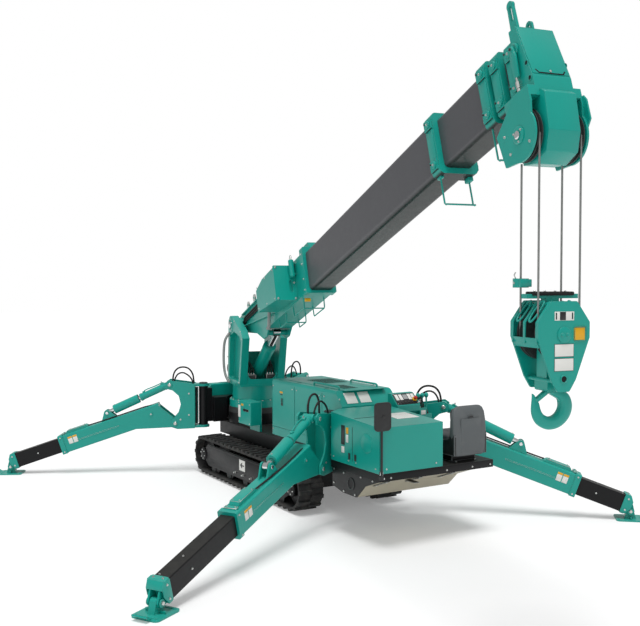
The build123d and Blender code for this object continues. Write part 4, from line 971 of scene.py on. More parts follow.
@dataclass
class Outrigger:
    """One folding outrigger: its pins, cylinder trim, labels, cap and foot."""

    name: str
    post_x: float
    post_y: float
    heading: float
    reach: float

    def __post_init__(self) -> None:
        """Works out the leg's frames from its heading and reach."""
        turn = math.radians(self.heading)
        out = Vector((math.cos(turn), math.sin(turn), 0))
        side = Vector((math.sin(turn), -math.cos(turn), 0))
        self.leg = Place(Vector((self.post_x, self.post_y, 0)), out, UP, side)
        drop, span = ARM_PIN[1] - FOOT_PIN_Z, self.reach - ARM_PIN[0]
        self.pin_s = math.sqrt(span**2 + drop**2 - FOOT_PIN_UP**2)
        self.tilt = math.atan2(drop, span) + math.atan2(FOOT_PIN_UP, self.pin_s)
        self.inner_end = self.pin_s - 75.0
        self.arm = Place(
            self.leg.at(*ARM_PIN),
            out * math.cos(self.tilt) - UP * math.sin(self.tilt),
            out * math.sin(self.tilt) + UP * math.cos(self.tilt),
            side,
        )
        top, lug = self.leg.at(*LIFT_PIN), self.arm.at(*LIFT_LUG)
        self.lift_length = (lug - top).length
        line = (lug - top).normalized()
        self.lift = Place(top, line, side.cross(line), side)

    def pin_end(self, made: Maker, centre: Vector, axis: Vector, radius: float) -> None:
        """Adds a pin's domed end and its keeper plate.

        Args:
            made: The piece that it goes into.
            centre: Where the pin leaves its plate.
            axis: Outward direction.
            radius: The pin's radius.
        """
        made.use(ZINC)
        made.turned(centre, axis, ((radius, -2), (radius, 12), (radius - 4, 16), (radius / 3, 17)), 20)
        made.use(TEAL_ENAMEL)
        keeper = ((radius + 16, -2), (radius + 16, 4), (radius + 13, 6), (radius, 6))
        made.turned(centre, axis, keeper, 24, False)

    def build_bracket(self) -> None:
        """Adds pins, post caps, bolts and hose clips of the bracket."""
        made = Maker(TEAL_ENAMEL)
        for pin in (ARM_PIN, LIFT_PIN):
            for sign in (1, -1):
                self.pin_end(made, self.leg.at(*pin, sign * BRACKET_FACE), self.leg.side * sign, 22)
        made.use(ZINC)
        for sign in (1, -1):
            heads = [self.leg.at(r, z, sign * BRACKET_FACE) for r, z in ((180, 760), (180, 1040), (290, 700))]
            made.bolts(heads, self.leg.side * sign, 11)
        made.use(CAST_IRON)
        made.turned(self.leg.at(0, 1160.5), UP, ((56, 0), (56, 10), (48, 16), (20, 17)), 28)
        made.use(ZINC).bolts(
            [self.leg.at(38 * math.cos(a), 1170, 38 * math.sin(a)) for a in (0.5, 2.6, 4.7)],
            UP,
            8,
        )
        made.use(BLACK_ENAMEL).box(self.leg, (86, 875, 0), (34, 470, 100), 4)
        made.use(WHITE_FILM).box(self.leg, (215, 900, 115.0), (60, 90, 1.6), 0.4)
        made.use(YELLOW_FILM).box(self.leg, (215, 965, 115.0), (60, 26, 1.6), 0.4)
        made.piece(f"bracket_trim_{self.name}", f"bracket_{self.name}")
        hose(
            f"bracket_hose_{self.name}",
            f"bracket_{self.name}",
            self.leg.route(
                (400, 1180, 30), (405, 1270, 34), (340, 1370, 38), (210, 1375, 42),
                (140, 1290, 46), (128, 1180, 50), (118, 1080, 52),
            ),
            11,
        )
        hose(
            f"bracket_hose_low_{self.name}",
            f"bracket_{self.name}",
            self.leg.route(
                (380, 1180, -20), (360, 1270, -30), (270, 1320, -40), (170, 1260, -48),
                (128, 1180, -54), (118, 1090, -56),
            ),
            10,
        )

    def build_arm(self) -> None:
        """Adds bolts, labels, a rib and the drive cover's lid to the arm."""
        made = Maker(ZINC)
        for sign in (1, -1):
            made.use(ZINC)
            spots = [self.arm.at(s, t, sign * 100) for s, t in ((1468, 110), (1468, 300))]
            made.bolts(spots, self.arm.side * sign, 9)
            made.use(TEAL_ENAMEL).box(self.arm, (980, 208, sign * 91.5), (560, 14, 5), 1.5)
            made.turned(
                self.arm.at(260, 215, sign * 90),
                self.arm.side * sign,
                ((26, -1), (26, 7), (20, 9), (8, 9)),
                20,
            )
            made.use(ZINC).bolt(self.arm.at(260, 215, sign * 98), self.arm.side * sign, 10)
            made.use(YELLOW_FILM)
            for s in (1285, 1350):
                made.box(self.arm, (s, 270, sign * 90.8), (56, 22, 1.6), 0.4)
            made.use(WHITE_FILM)
            for s in (1285, 1350):
                made.box(self.arm, (s, 222, sign * 90.8), (56, 70, 1.6), 0.4)
        made.use(TEAL_ENAMEL).box(self.arm, (1240, 358, 0), (250, 5, 106), 2)
        made.box(self.arm, (1430, 333, 0), (46, 20, 130), 5)
        made.use(ZINC)
        made.bolts([self.arm.at(s, 360, l) for s in (1140, 1340) for l in (36, -36)], self.arm.up, 8)
        made.bolts([self.arm.at(1430, 343, l) for l in (45, -45)], self.arm.up, 8)
        made.use(CHROME)
        for sign in (1, -1):
            made.turned(
                self.arm.at(*LIFT_LUG, sign * 55),
                self.arm.side * sign,
                ((20, 0), (20, 8), (16, 11), (6, 11)),
                18,
            )
        made.piece(f"arm_trim_{self.name}", f"arm_{self.name}")
        hose(
            f"arm_pipe_{self.name}",
            f"arm_{self.name}",
            self.arm.route(
                (1090, 338, -40), (1000, 334, -42), (700, 332, -66), (420, 332, -66),
                (250, 330, -56), (170, 300, -40),
            ),
            8,
        )

    def build_inner(self) -> None:
        """Adds the teal end cap, its gussets and the bolts of the inner arm."""
        end = self.inner_end
        made = Maker(TEAL_ENAMEL)
        cap = (
            (end - 36, 116),
            (end - 36, 294),
            (end - 22, 310),
            (end + 26, 310),
            (end + 62, 250),
            (end + 62, 190),
            (end + 16, 110),
        )
        for sign in (1, -1):
            made.slab(self.arm, cap, sign * 73.4, sign * 83, 2)
        made.box(self.arm, (end - 3, 304, 0), (64, 10, 150), 3)
        made.slab(self.arm, ((end + 14, 306), (end + 30, 306), (end + 68, 246), (end + 52, 246)), -74, 74, 3)
        made.box(self.arm, (end - 12, 108, 0), (40, 10, 150), 3)
        made.use(ZINC)
        for sign in (1, -1):
            axis = self.arm.side * sign
            made.bolts([self.arm.at(end + 8, 270, sign * 83), self.arm.at(end + 8, 150, sign * 83)], axis, 10)
            made.bolts([self.arm.at(end - 320, 205, sign * 73)], axis, 9)
            self.pin_end(made, self.arm.at(self.pin_s, FOOT_PIN_UP, sign * 61), axis, 18)
            made.use(ZINC)
        made.bolts([self.arm.at(end - 330, 298, 0), self.arm.at(end - 60, 298, 30)], self.arm.up, 9)
        made.bolts([self.arm.at(end - 4, 309, l) for l in (45, -45)], self.arm.up, 9)
        made.piece(f"inner_trim_{self.name}", f"inner_{self.name}")

    def build_foot(self) -> None:
        """Adds ribs, weld beads and tread strips to the foot plate."""
        made = Maker(TEAL_ENAMEL)
        reach = self.reach
        for sign in (1, -1):
            rib = ((reach - 52, 14), (reach + 52, 14), (reach + 40, 36), (reach - 40, 36))
            made.slab(self.leg, rib, sign * 32, sign * 36, 1)
            fin = ((reach - 6, 14), (reach - 6, 38), (reach + 6, 38), (reach + 6, 14))
            made.slab(self.leg, fin, sign * 34, sign * 96, 2)
            made.rod([self.leg.at(reach + r, 15, sign * 37) for r in (-56, -20, 20, 56)], 3.5, 8)
        for offset in (-120, 110):
            made.box(self.leg, (reach + offset, 15.5, 0), (14, 5, 200), 1.5)
        made.piece(f"foot_trim_{self.name}", f"foot_{self.name}")

    def build_cylinder(self) -> None:
        """Adds gland, ports, bands and pipe to the barrel and a guard to the rod."""
        barrel = Maker(TEAL_ENAMEL)
        along, place = self.lift.along, self.lift
        barrel.turned(place.at(396), along, ((46, 0), (51, 3), (51, 30), (47, 33)), 32, False)
        barrel.turned(place.at(60), along, ((46, 0), (50, 4), (50, 22), (46, 26)), 32, False)
        barrel.box(place, (100, 52, 0), (46, 22, 40), 4)
        barrel.box(place, (360, 52, 0), (36, 20, 34), 4)
        barrel.use(CHROME)
        barrel.turned(place.at(430.5), along, ((27, 0), (40, 0), (40, 3), (27, 5)), 32, False)
        barrel.use(ZINC)
        barrel.turned(place.at(100, 62), place.up, ((10, 0), (10, 10), (7, 12), (7, 22)), 6)
        barrel.piece(f"barrel_trim_{self.name}", f"lift_barrel_{self.name}")
        hose(
            f"barrel_pipe_{self.name}",
            f"lift_barrel_{self.name}",
            place.route(
                (350, 62, 0), (300, 66, 0), (220, 58, 22), (140, 58, 22), (90, 60, 12),
            ),
            7,
            TEAL_ENAMEL,
        )
        guard = Maker(TEAL_ENAMEL)
        start, stop = 452.0, self.lift_length - 96.0
        if stop - start > 40:
            profile = ((53, 0), (58, 0), (58, stop - start), (29, stop - start), (29, stop - start - 6))
            guard.turned(place.at(start), along, (*profile, (53, stop - start - 6), (53, 0)), 32, False)
            guard.use(ZINC).bolt(place.at(stop - 24, 58), place.up, 8)
        eye = place.at(self.lift_length)
        for sign in (1, -1):
            guard.use(ZINC)
            side = place.side * sign
            guard.turned(eye + side * 25, side, ((34, -1), (34, 1.5), (24, 2.5)), 24)
        guard.piece(f"rod_trim_{self.name}", f"lift_rod_{self.name}")

    def build(self) -> None:
        """Builds every piece of this outrigger."""
        self.build_bracket()
        self.build_arm()
        self.build_inner()
        self.build_foot()
        self.build_cylinder()


LEGS = (
    Outrigger("front_left", 320, 600, 62.0, 2492),
    Outrigger("front_right", 320, -600, -62.0, 2492),
    Outrigger("rear_left", -2735, 541, 120.9, 2854),
    Outrigger("rear_right", -2660, -470, -130.9, 2382),
)


@dataclass
class Tracks:
    """Side covers, hubs and roller caps of both tracks."""

    gauge: float = 1080
    rear_x: float = -2150
    front_x: float = 170
    axis_z: float = 260
    cover_out: float = 122

    def build_side(self, name: str, sign: int) -> None:
        """Builds one side's trim.

        Args:
            name: The side's name.
            sign: 1 on the left, -1 on the right.
        """
        made = Maker(BLACK_ENAMEL)
        middle, out = sign * self.gauge / 2, Vector((0, sign, 0))
        cover = [(self.rear_x + 150, 130), (self.front_x - 150, 130), (self.front_x - 60, 180)]
        cover += [(self.front_x - 60, 350), (self.front_x - 130, 405), (self.rear_x + 130, 405)]
        cover += [(self.rear_x + 60, 350), (self.rear_x + 60, 180)]
        made.slab(MODEL, cover, middle + sign * 110, middle + sign * self.cover_out, 3)
        face = middle + sign * self.cover_out
        rim = [(self.rear_x + 200, 392), (self.front_x - 200, 392), (self.front_x - 200, 380)]
        made.slab(MODEL, [*rim, (self.rear_x + 200, 380)], face, face + sign * 8, 2)
        for x in (self.rear_x, self.front_x):
            hub = Vector((x, middle + sign * 122, self.axis_z))
            made.turned(hub, out, ((80, -1), (80, 8), (66, 14), (36, 16), (32, 22), (12, 24)), 36)
            made.use(ZINC)
            angles = (0.3, 1.35, 2.4, 3.45, 4.5, 5.55)
            made.bolts(points_round(hub + out * 12, MODEL.along, UP, 56, angles), out, 10)
            made.use(BLACK_ENAMEL)
        made.use(ZINC)
        for x in (-1200, -990, -780):
            made.turned(Vector((x, face, 190)), out, ((15, -1), (15, 12), (11, 15), (11, 30), (8, 33)), 6)
        made.use(BLACK_FILM).box(MODEL, (-955, 300, face + sign * 1.0), (168, 142, 2.4), 0.6)
        made.use(WHITE_FILM).box(MODEL, (-955, 300, face + sign * 2.0), (156, 130, 2.4), 0.6)
        made.use(BLACK_FILM)
        # the arrow points forward on both sides
        arrow = [(-902, 300), (-947, 335), (-962, 321), (-946, 308), (-1010, 308), (-1010, 292)]
        arrow += [(-946, 292), (-962, 279), (-947, 265)]
        made.slab(MODEL, arrow, face + sign * 2.6, face + sign * 4, 0)
        made.use(CAST_IRON)
        cap = ((60, -1), (60, 6), (40, 10), (16, 12))
        for number in range(5):
            x = self.rear_x + 260 + number * 450
            made.turned(Vector((x, middle + sign * 95, 112)), out, cap, 28)
        made.piece(f"track_cover_{name}", "base", Slot.BLACK)

    def build(self) -> None:
        """Builds both sides."""
        self.build_side("left", 1)
        self.build_side("right", -1)


@dataclass
class Covers:
    """Trim of the deck, the engine hood, the rear cover, the tank and the belly."""

    hood_left: float = 450
    hood_top: float = 1366
    cover_left: float = 690
    deck_rear: float = -3850

    def build_hood(self) -> None:
        """Adds handles, hinges, vents, plates and seams to the engine hood."""
        made = Maker(TEAL_ENAMEL)
        left, top = self.hood_left, self.hood_top
        # grab bar on the roof's left edge
        bar = [(-2640, top - 2), (-2640, top + 26), (-2620, top + 34), (-2150, top + 34), (-2130, top + 26)]
        made.rod([Vector((x, left - 90, z)) for x, z in (*bar, (-2130, top - 2))], 11, 12)
        made.rod([Vector((x, -120, z)) for x, z in (*bar, (-2130, top - 2))], 11, 12)
        made.box(MODEL, (-2145, top + 2, 100), (1240, 5, 520), 2)
        # black strips for the vent slots: painted shade of the openings
        made.use(BLACK_ENAMEL)
        for row in range(9):
            made.box(MODEL, (-1700 - row * 44, top + 6, 40), (18, 5, 300), 1.5)
        for row in range(7):
            made.box(MODEL, (-2330 - row * 44, top + 6, 190), (18, 5, 180), 1.5)
        made.use(BLACK_PLASTIC)
        for x in (-1560, -2145, -2600):
            made.box(MODEL, (x, 1120, left + 1), (46, 86, 6), 2)
            made.box(MODEL, (x, 1132, left + 5), (30, 34, 8), 3)
        made.use(ZINC)
        for x in (-1350, -1800, -1900, -2390, -2490, -2790):
            made.bolts([Vector((x, left, z)) for z in (790, 1290)], Vector((0, 1, 0)), 8)
        slope = Vector((-135, 0, -151)).normalized()
        out = Vector((-151, 0, 135)).normalized()
        panel = Place(Vector((-2767, 0, 1290)), Vector((0, 1, 0)), slope * -1, out)
        for y in (300, 130):
            made.use(TEAL_ENAMEL).box(panel, (y, 0, 1), (150, 150, 4), 1.5)
            made.use(WHITE_FILM).box(panel, (y, 0, 2.4), (136, 136, 3), 0.8)
        made.use(YELLOW_FILM).box(MODEL, (-1540, 1230, left + 0.8), (70, 22, 1.8), 0.5)
        made.use(BLACK_FILM).box(MODEL, (-1545, 1205, left + 0.8), (50, 14, 1.8), 0.5)
        made.piece("hood_trim", "base")
        seams = Maker(BLACK_ENAMEL)
        for x in (-1850, -2440):
            seams.box(MODEL, (x, 1082, left - 6), (8, 490, 5), 0.5)
            seams.box(MODEL, (x, top + 1.2, 100), (6, 2.4, 640), 0.5)
        seams.piece("hood_seams", "base", Slot.BLACK)

    def build_rear_cover(self) -> None:
        """Adds plates, locks, hinges and the lid's seam to the rear cover."""
        made = Maker(BLACK_FILM)
        left = self.cover_left
        face = Vector((0, 1, 0))
        made.box(MODEL, (-3230, 1010, left + 0.9), (64, 190, 2), 0.5)
        made.use(YELLOW_FILM).box(MODEL, (-3305, 1062, left + 0.9), (42, 60, 2), 0.5)
        made.use(WHITE_FILM).box(MODEL, (-3305, 985, left + 0.9), (42, 78, 2), 0.5)
        made.box(MODEL, (-3230, 868, left + 0.9), (52, 62, 2), 0.5)
        lid_fall = math.atan2(60, 970)
        rearward = Vector((-math.cos(lid_fall), 0, -math.sin(lid_fall)))
        top = Place(Vector((-3450, 150, 1186)), rearward, rearward.cross(face * -1), face)
        made.box(top, (0, 0, 0), (250, 3, 270), 0.8)
        made.use(TEAL_ENAMEL)
        made.turned(Vector((-3640, left, 990)), face, ((92, -1), (92, 3), (84, 6), (20, 6)), 48)
        made.use(BLACK_PLASTIC)
        for x in (-3345, -3450):
            made.box(MODEL, (x, 820, left + 2), (34, 62, 7), 2.5)
        made.use(ZINC)
        made.bolts([Vector((x, left, 775)) for x in (-3060, -3330, -3460, -3790)], face, 8)
        back = Vector((-1, 0, 0))
        made.bolts([Vector((self.deck_rear, y, 775)) for y in (30, 610)], back, 8)
        made.piece("rear_cover_trim", "base")
        seams = Maker(BLACK_ENAMEL)
        seams.box(MODEL, (-3395, 940, left - 5), (8, 330, 6), 0.5)
        slope = math.atan2(60, 1070)
        down_lid = Vector((-math.cos(slope), 0, -math.sin(slope)))
        lid = Place(Vector((-3395, 0, 1189)), face, UP, down_lid)
        seams.box(lid, (320, 0.4, 0), (690, 3, 7), 0.5)
        seams.piece("rear_cover_seams", "base", Slot.BLACK)

    def build_belly(self) -> None:
        """Adds bolts, the exhaust opening, black ribs and a tail pipe below."""
        made = Maker(ZINC)
        left = 660.0
        face = Vector((0, 1, 0))
        spots = [(-3020, 640), (-3020, 500), (-3200, 630), (-3200, 450)]
        spots += [(-3400, 450), (-3500, 640), (-3700, 640)]
        made.bolts([Vector((x, left, z)) for x, z in spots], face, 9)
        made.use(CAST_IRON)
        rim = ((62, -1), (62, 6), (54, 9), (50, 9), (46, -3))
        made.turned(Vector((-3330, left, 545)), face, rim, 36, False)
        # black disc inside the rim: painted shade of the exhaust opening
        made.use(BLACK_ENAMEL).turned(Vector((-3330, left, 545)), face, ((50, -1), (50, 1)), 36)
        made.box(MODEL, (-3694, 606, 250), (290, 8, 60), 2)
        along, down = Vector((0.94, 0, -0.35)).normalized(), Vector((-0.35, 0, -0.94))
        pan = Place(Vector((-3695, 0, 610)), along, down, face)
        for y in (560, 180, -220):
            made.box(pan, (0, 6, y), (250, 8, 36), 2)
        made.use(ZINC)
        for y in (560, 180, -220):
            made.bolts([pan.at(a, 10, y) for a in (-90, 90)], pan.up, 9)
        made.piece("belly_trim", "base", Slot.BLACK)
        strip = Maker(BLACK_ENAMEL)
        strip.box(MODEL, (self.deck_rear + 4, 697, 0), (12, 66, 1370), 3)
        strip.use(ZINC)
        heads = [Vector((self.deck_rear - 1, y, 690)) for y in (640, 560, -100, -420, -650)]
        strip.bolts(heads, Vector((-1, 0, 0)), 9)
        strip.piece("deck_edge", "base", Slot.BLACK)

    def build_tank(self) -> None:
        """Adds straps, filler cap, level gauge and bolts to the side tank."""
        made = Maker(BLACK_ENAMEL)
        for x in (-2200, -1620):
            made.box(MODEL, (x, 905, -603), (44, 370, 5), 1.5)
            made.box(MODEL, (x, 1103, -440), (44, 5, 300), 1.5)
        made.use(BLACK_PLASTIC)
        made.turned(Vector((-1560, -432.5, 1130)), UP, ((44, -6), (44, 8), (38, 16), (18, 18)), 28)
        made.box(MODEL, (-1900, 900, -602), (26, 150, 8), 3)
        made.use(ZINC)
        for x in (-2200, -1620):
            made.bolts([Vector((x, -606, z)) for z in (760, 1050)], Vector((0, -1, 0)), 9)
        made.piece("tank_trim", "base", Slot.BLACK)

    def build_front(self) -> None:
        """Adds bolts and plates to the front beam, the casting and the valve box."""
        made = Maker(ZINC)
        for sign in (1, -1):
            made.bolts([Vector((512, sign * y, 1030)) for y in (440, 250, 80)], Vector((1, 0, 0)), 11)
            made.bolts([Vector((x, sign * 500, 1020)) for x in (400, 480)], Vector((0, sign, 0)), 11)
        made.bolts([Vector((500, y, 860)) for y in (-400, -200, 0, 200, 400)], Vector((1, 0, 0)), 14)
        made.use(TEAL_ENAMEL).box(MODEL, (442, 1142, 0), (60, 8, 620), 2)
        made.use(WHITE_FILM).box(MODEL, (-560, 900, 505.9), (60, 150, 1.6), 0.4)
        made.use(YELLOW_FILM).box(MODEL, (-640, 985, 505.9), (60, 26, 1.6), 0.4)
        made.use(BLACK_ENAMEL).box(MODEL, (-740, 925, 505), (150, 34, 3), 1)
        made.use(ZINC)
        made.bolts([Vector((x, 505, z)) for x in (-840, -550) for z in (770, 1005)], Vector((0, 1, 0)), 8)
        made.piece("front_trim", "base")

    def build(self) -> None:
        """Builds all the covers' trim."""
        self.build_hood()
        self.build_rear_cover()
        self.build_belly()
        self.build_tank()
        self.build_front()


@dataclass
class Console:
    """Instrument panel, switches, knobs and looms of the operator's console."""

    panel_y: float = -235

    def build(self) -> None:
        """Builds the console's trim."""
        slope = Vector((-125, 0, -115)).normalized()
        out = Vector((-115, 0, 125)).normalized()
        panel = Place(Vector((-2997, self.panel_y, 1273)), Vector((0, 1, 0)), slope * -1, out)
        made = Maker(BLACK_PLASTIC)
        made.box(panel, (0, 0, 2), (270, 150, 6), 2)
        made.use(WHITE_FILM)
        for y in (100, 50, -60, -105):
            made.box(panel, (y, 22, 5.5), (40, 76, 2.5), 0.6)
        made.use(MIRROR_GLASS).box(panel, (-5, 24, 5.5), (56, 62, 3), 1)
        made.use(BLACK_PLASTIC)
        for number in range(6):
            made.box(panel, (110 - number * 44, -48, 7), (24, 30, 10), 3)
        made.use(YELLOW_PLASTIC)
        made.turned(panel.at(-105, -20, 5), out, ((27, 0), (27, 10), (22, 12)), 24)
        made.use(RED_PLASTIC)
        made.turned(panel.at(-105, -20, 16), out, ((12, 0), (12, 12), (20, 18), (20, 26), (14, 30)), 24)
        made.use(YELLOW_PLASTIC)
        made.turned(Vector((-2985, -372, 1100)), UP, ((14, 0), (14, 22), (9, 27)), 16)
        made.use(RED_PLASTIC)
        made.turned(Vector((-2985, -480, 1100)), UP, ((12, 0), (12, 18), (8, 23)), 16)
        made.use(BLACK_PLASTIC)
        for lever in range(3):
            foot = Vector((-3000, -400 - 55 * lever, 1100))
            made.turned(foot, UP, ((26, 0), (24, 14), (17, 22), (18, 28), (13, 36), (13, 42), (10, 50)), 20)
        made.use(ZINC).bolts([panel.at(y, u, 5) for y in (125, -125) for u in (65, -65)], out, 6)
        made.use(WHITE_FILM).box(MODEL, (-3061.2, 1125, -425), (2, 44, 60), 0.5)
        made.piece("console_trim", "base", Slot.PLASTIC)
        for number, y in enumerate((-345, -362, -379)):
            hose(
                f"console_loom_{number + 1}",
                "base",
                [
                    Vector((-2950, y, 1090)),
                    Vector((-2950, y - 8, 1190)),
                    Vector((-2985, y - 30, 1300)),
                    Vector((-3040, y - 55, 1260)),
                    Vector((-3055, y - 60, 1160)),
                ],
                6,
            )


@dataclass
class Seat:
    """The operator's seat: moulded shell, two cushions, side bolsters, pedestal."""

    middle_y: float = -410
    half_w: float = 205
    pan_z: float = 950

    def cushion(self, name: str, centre: Vector, half: Vector, lean: float, channels: int) -> None:
        """Builds one crowned cushion with sewn channels.

        Args:
            name: The piece's name.
            centre: The cushion's middle.
            half: Half its length along the lean, its width and its thickness.
            lean: Turn about the seat's width, in radians.
            channels: Number of sewn channels across it.
        """
        rows, columns = 28, 56
        turn = Matrix.Rotation(lean, 4, "Y")
        rings = []
        for i in range(1, rows):
            tilt = -math.pi / 2 + math.pi * i / rows
            ring = []
            for j in range(columns):
                angle = 2 * math.pi * j / columns
                reach = math.cos(tilt) ** 0.42
                u = math.copysign(abs(math.cos(angle)) ** 0.42, math.cos(angle)) * reach
                v = math.copysign(abs(math.sin(angle)) ** 0.42, math.sin(angle)) * reach
                pull = 1 - 0.035 * (1 - abs(u) ** 3) * abs(v) ** 6 - 0.035 * (1 - abs(v) ** 3) * abs(u) ** 6
                height = math.copysign(abs(math.sin(tilt)) ** 0.6, math.sin(tilt))
                crown = 0.78 + 0.22 * (1 - u * u) * (1 - v * v)
                if height > 0.4:
                    crown -= 0.07 * max(0.0, math.cos(math.pi * channels * u)) ** 12
                point = Vector((u * half.x * pull, v * half.y * pull, height * crown * half.z))
                ring.append(centre + turn @ point)
            rings.append(ring)
        made = Maker(SEAT_VINYL).skin(rings).piece(name, "base", Slot.VINYL)

    def build(self) -> None:
        """Builds the shell, the pedestal and both cushions."""
        shell = Maker(SEAT_SHELL)
        rings = []
        # the back's sections from bottom to top: height, rear x, front x, half width
        sections = (
            (800, -3828, -3776, 168),
            (812, -3838, -3766, 186),
            (900, -3842, -3752, 204),
            (1020, -3840, -3748, 209),
            (1140, -3832, -3750, 207),
            (1220, -3822, -3756, 196),
            (1262, -3810, -3766, 176),
            (1282, -3798, -3776, 146),
            (1287, -3792, -3784, 110),
        )
        for z, rear, front, half in sections:
            ring = []
            for k in range(40):
                angle = 2 * math.pi * k / 40
                u = math.copysign(abs(math.cos(angle)) ** 0.45, math.cos(angle))
                v = math.copysign(abs(math.sin(angle)) ** 0.35, math.sin(angle))
                x = (rear + front) / 2 + u * (front - rear) / 2
                ring.append(Vector((x, self.middle_y + v * half, z)))
            rings.append(ring)
        shell.skin(rings)
        pan = [(-3790, 800), (-3790, 880), (-3400, 905), (-3376, 930), (-3376, 900)]
        pan += [(-3440, 850), (-3500, 800)]
        across = Place(Vector((0, self.middle_y, 0)), Vector((1, 0, 0)), UP, Vector((0, 1, 0)))
        shell.slab(across, pan, -self.half_w, self.half_w, 14)
        shell.use(BLACK_PLASTIC)
        guard = [(-3836, 806), (-3836, 1000), (-3812, 1060), (-3780, 1060), (-3760, 960)]
        guard += [(-3560, 935), (-3540, 815)]
        for sign in (1, -1):
            shell.slab(across, guard, sign * 176, sign * 207, 8)
        shell.box(MODEL, (-3838, 1180, self.middle_y), (6, 26, 60), 2)
        shell.use(SEAT_SHELL).box(MODEL, (-3838, 1000, self.middle_y), (8, 330, 250), 4)
        shell.use(BLACK_ENAMEL).box(MODEL, (-3600, 768, self.middle_y), (260, 68, 300), 8)
        for sign in (1, -1):
            shell.box(MODEL, (-3600, 797, self.middle_y + sign * 130), (330, 16, 40), 3)
        shell.use(ZINC)
        feet = [Vector((x, self.middle_y + s * 120, 735)) for x in (-3760, -3450) for s in (1, -1)]
        shell.bolts(feet, UP, 10)
        made = shell.piece("seat_shell", "base", Slot.VINYL)
        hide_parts("seat")
        self.cushion(
            "seat_cushion",
            Vector((-3572, self.middle_y, self.pan_z + 5)),
            Vector((190, 176, 58)),
            math.radians(-3),
            3,
        )
        self.cushion(
            "back_cushion",
            Vector((-3742, self.middle_y, 1118)),
            Vector((150, 176, 36)),
            math.radians(-83),
            3,
        )


@dataclass
class Mirror:
    """Glass, rim, clamp and braces of the mirror at the left rear corner."""

    face_x: float = -3871
    middle_y: float = 676

    def build(self) -> None:
        """Builds the mirror's trim."""
        made = Maker(MIRROR_GLASS)
        place = Place(Vector((self.face_x, self.middle_y, 1270)), Vector((0, 1, 0)), UP, Vector((1, 0, 0)))
        corner, half_w, half_h = 30.0, 80.0, 122.0
        outline = []
        for cx, cz, first in ((1, 1, 0), (-1, 1, 90), (-1, -1, 180), (1, -1, 270)):
            for step in range(5):
                angle = math.radians(first + step * 22.5)
                y = cx * (half_w - corner) + corner * math.cos(angle)
                z = cz * (half_h - corner) + corner * math.sin(angle)
                outline.append((y, z))
        made.slab(place, outline, -1, 2, 0.5)
        made.use(BLACK_PLASTIC)
        made.turned(Vector((-3894, self.middle_y, 1270)), Vector((-1, 0, 0)), ((20, -2), (19, 4), (8, 7)), 20)
        made.use(BLACK_ENAMEL).box(MODEL, (-3866, 1150, self.middle_y), (32, 26, 34), 4)
        made.box(MODEL, (-3858, 745, self.middle_y), (20, 34, 34), 3)
        made.piece("mirror_trim", "base", Slot.PLASTIC)


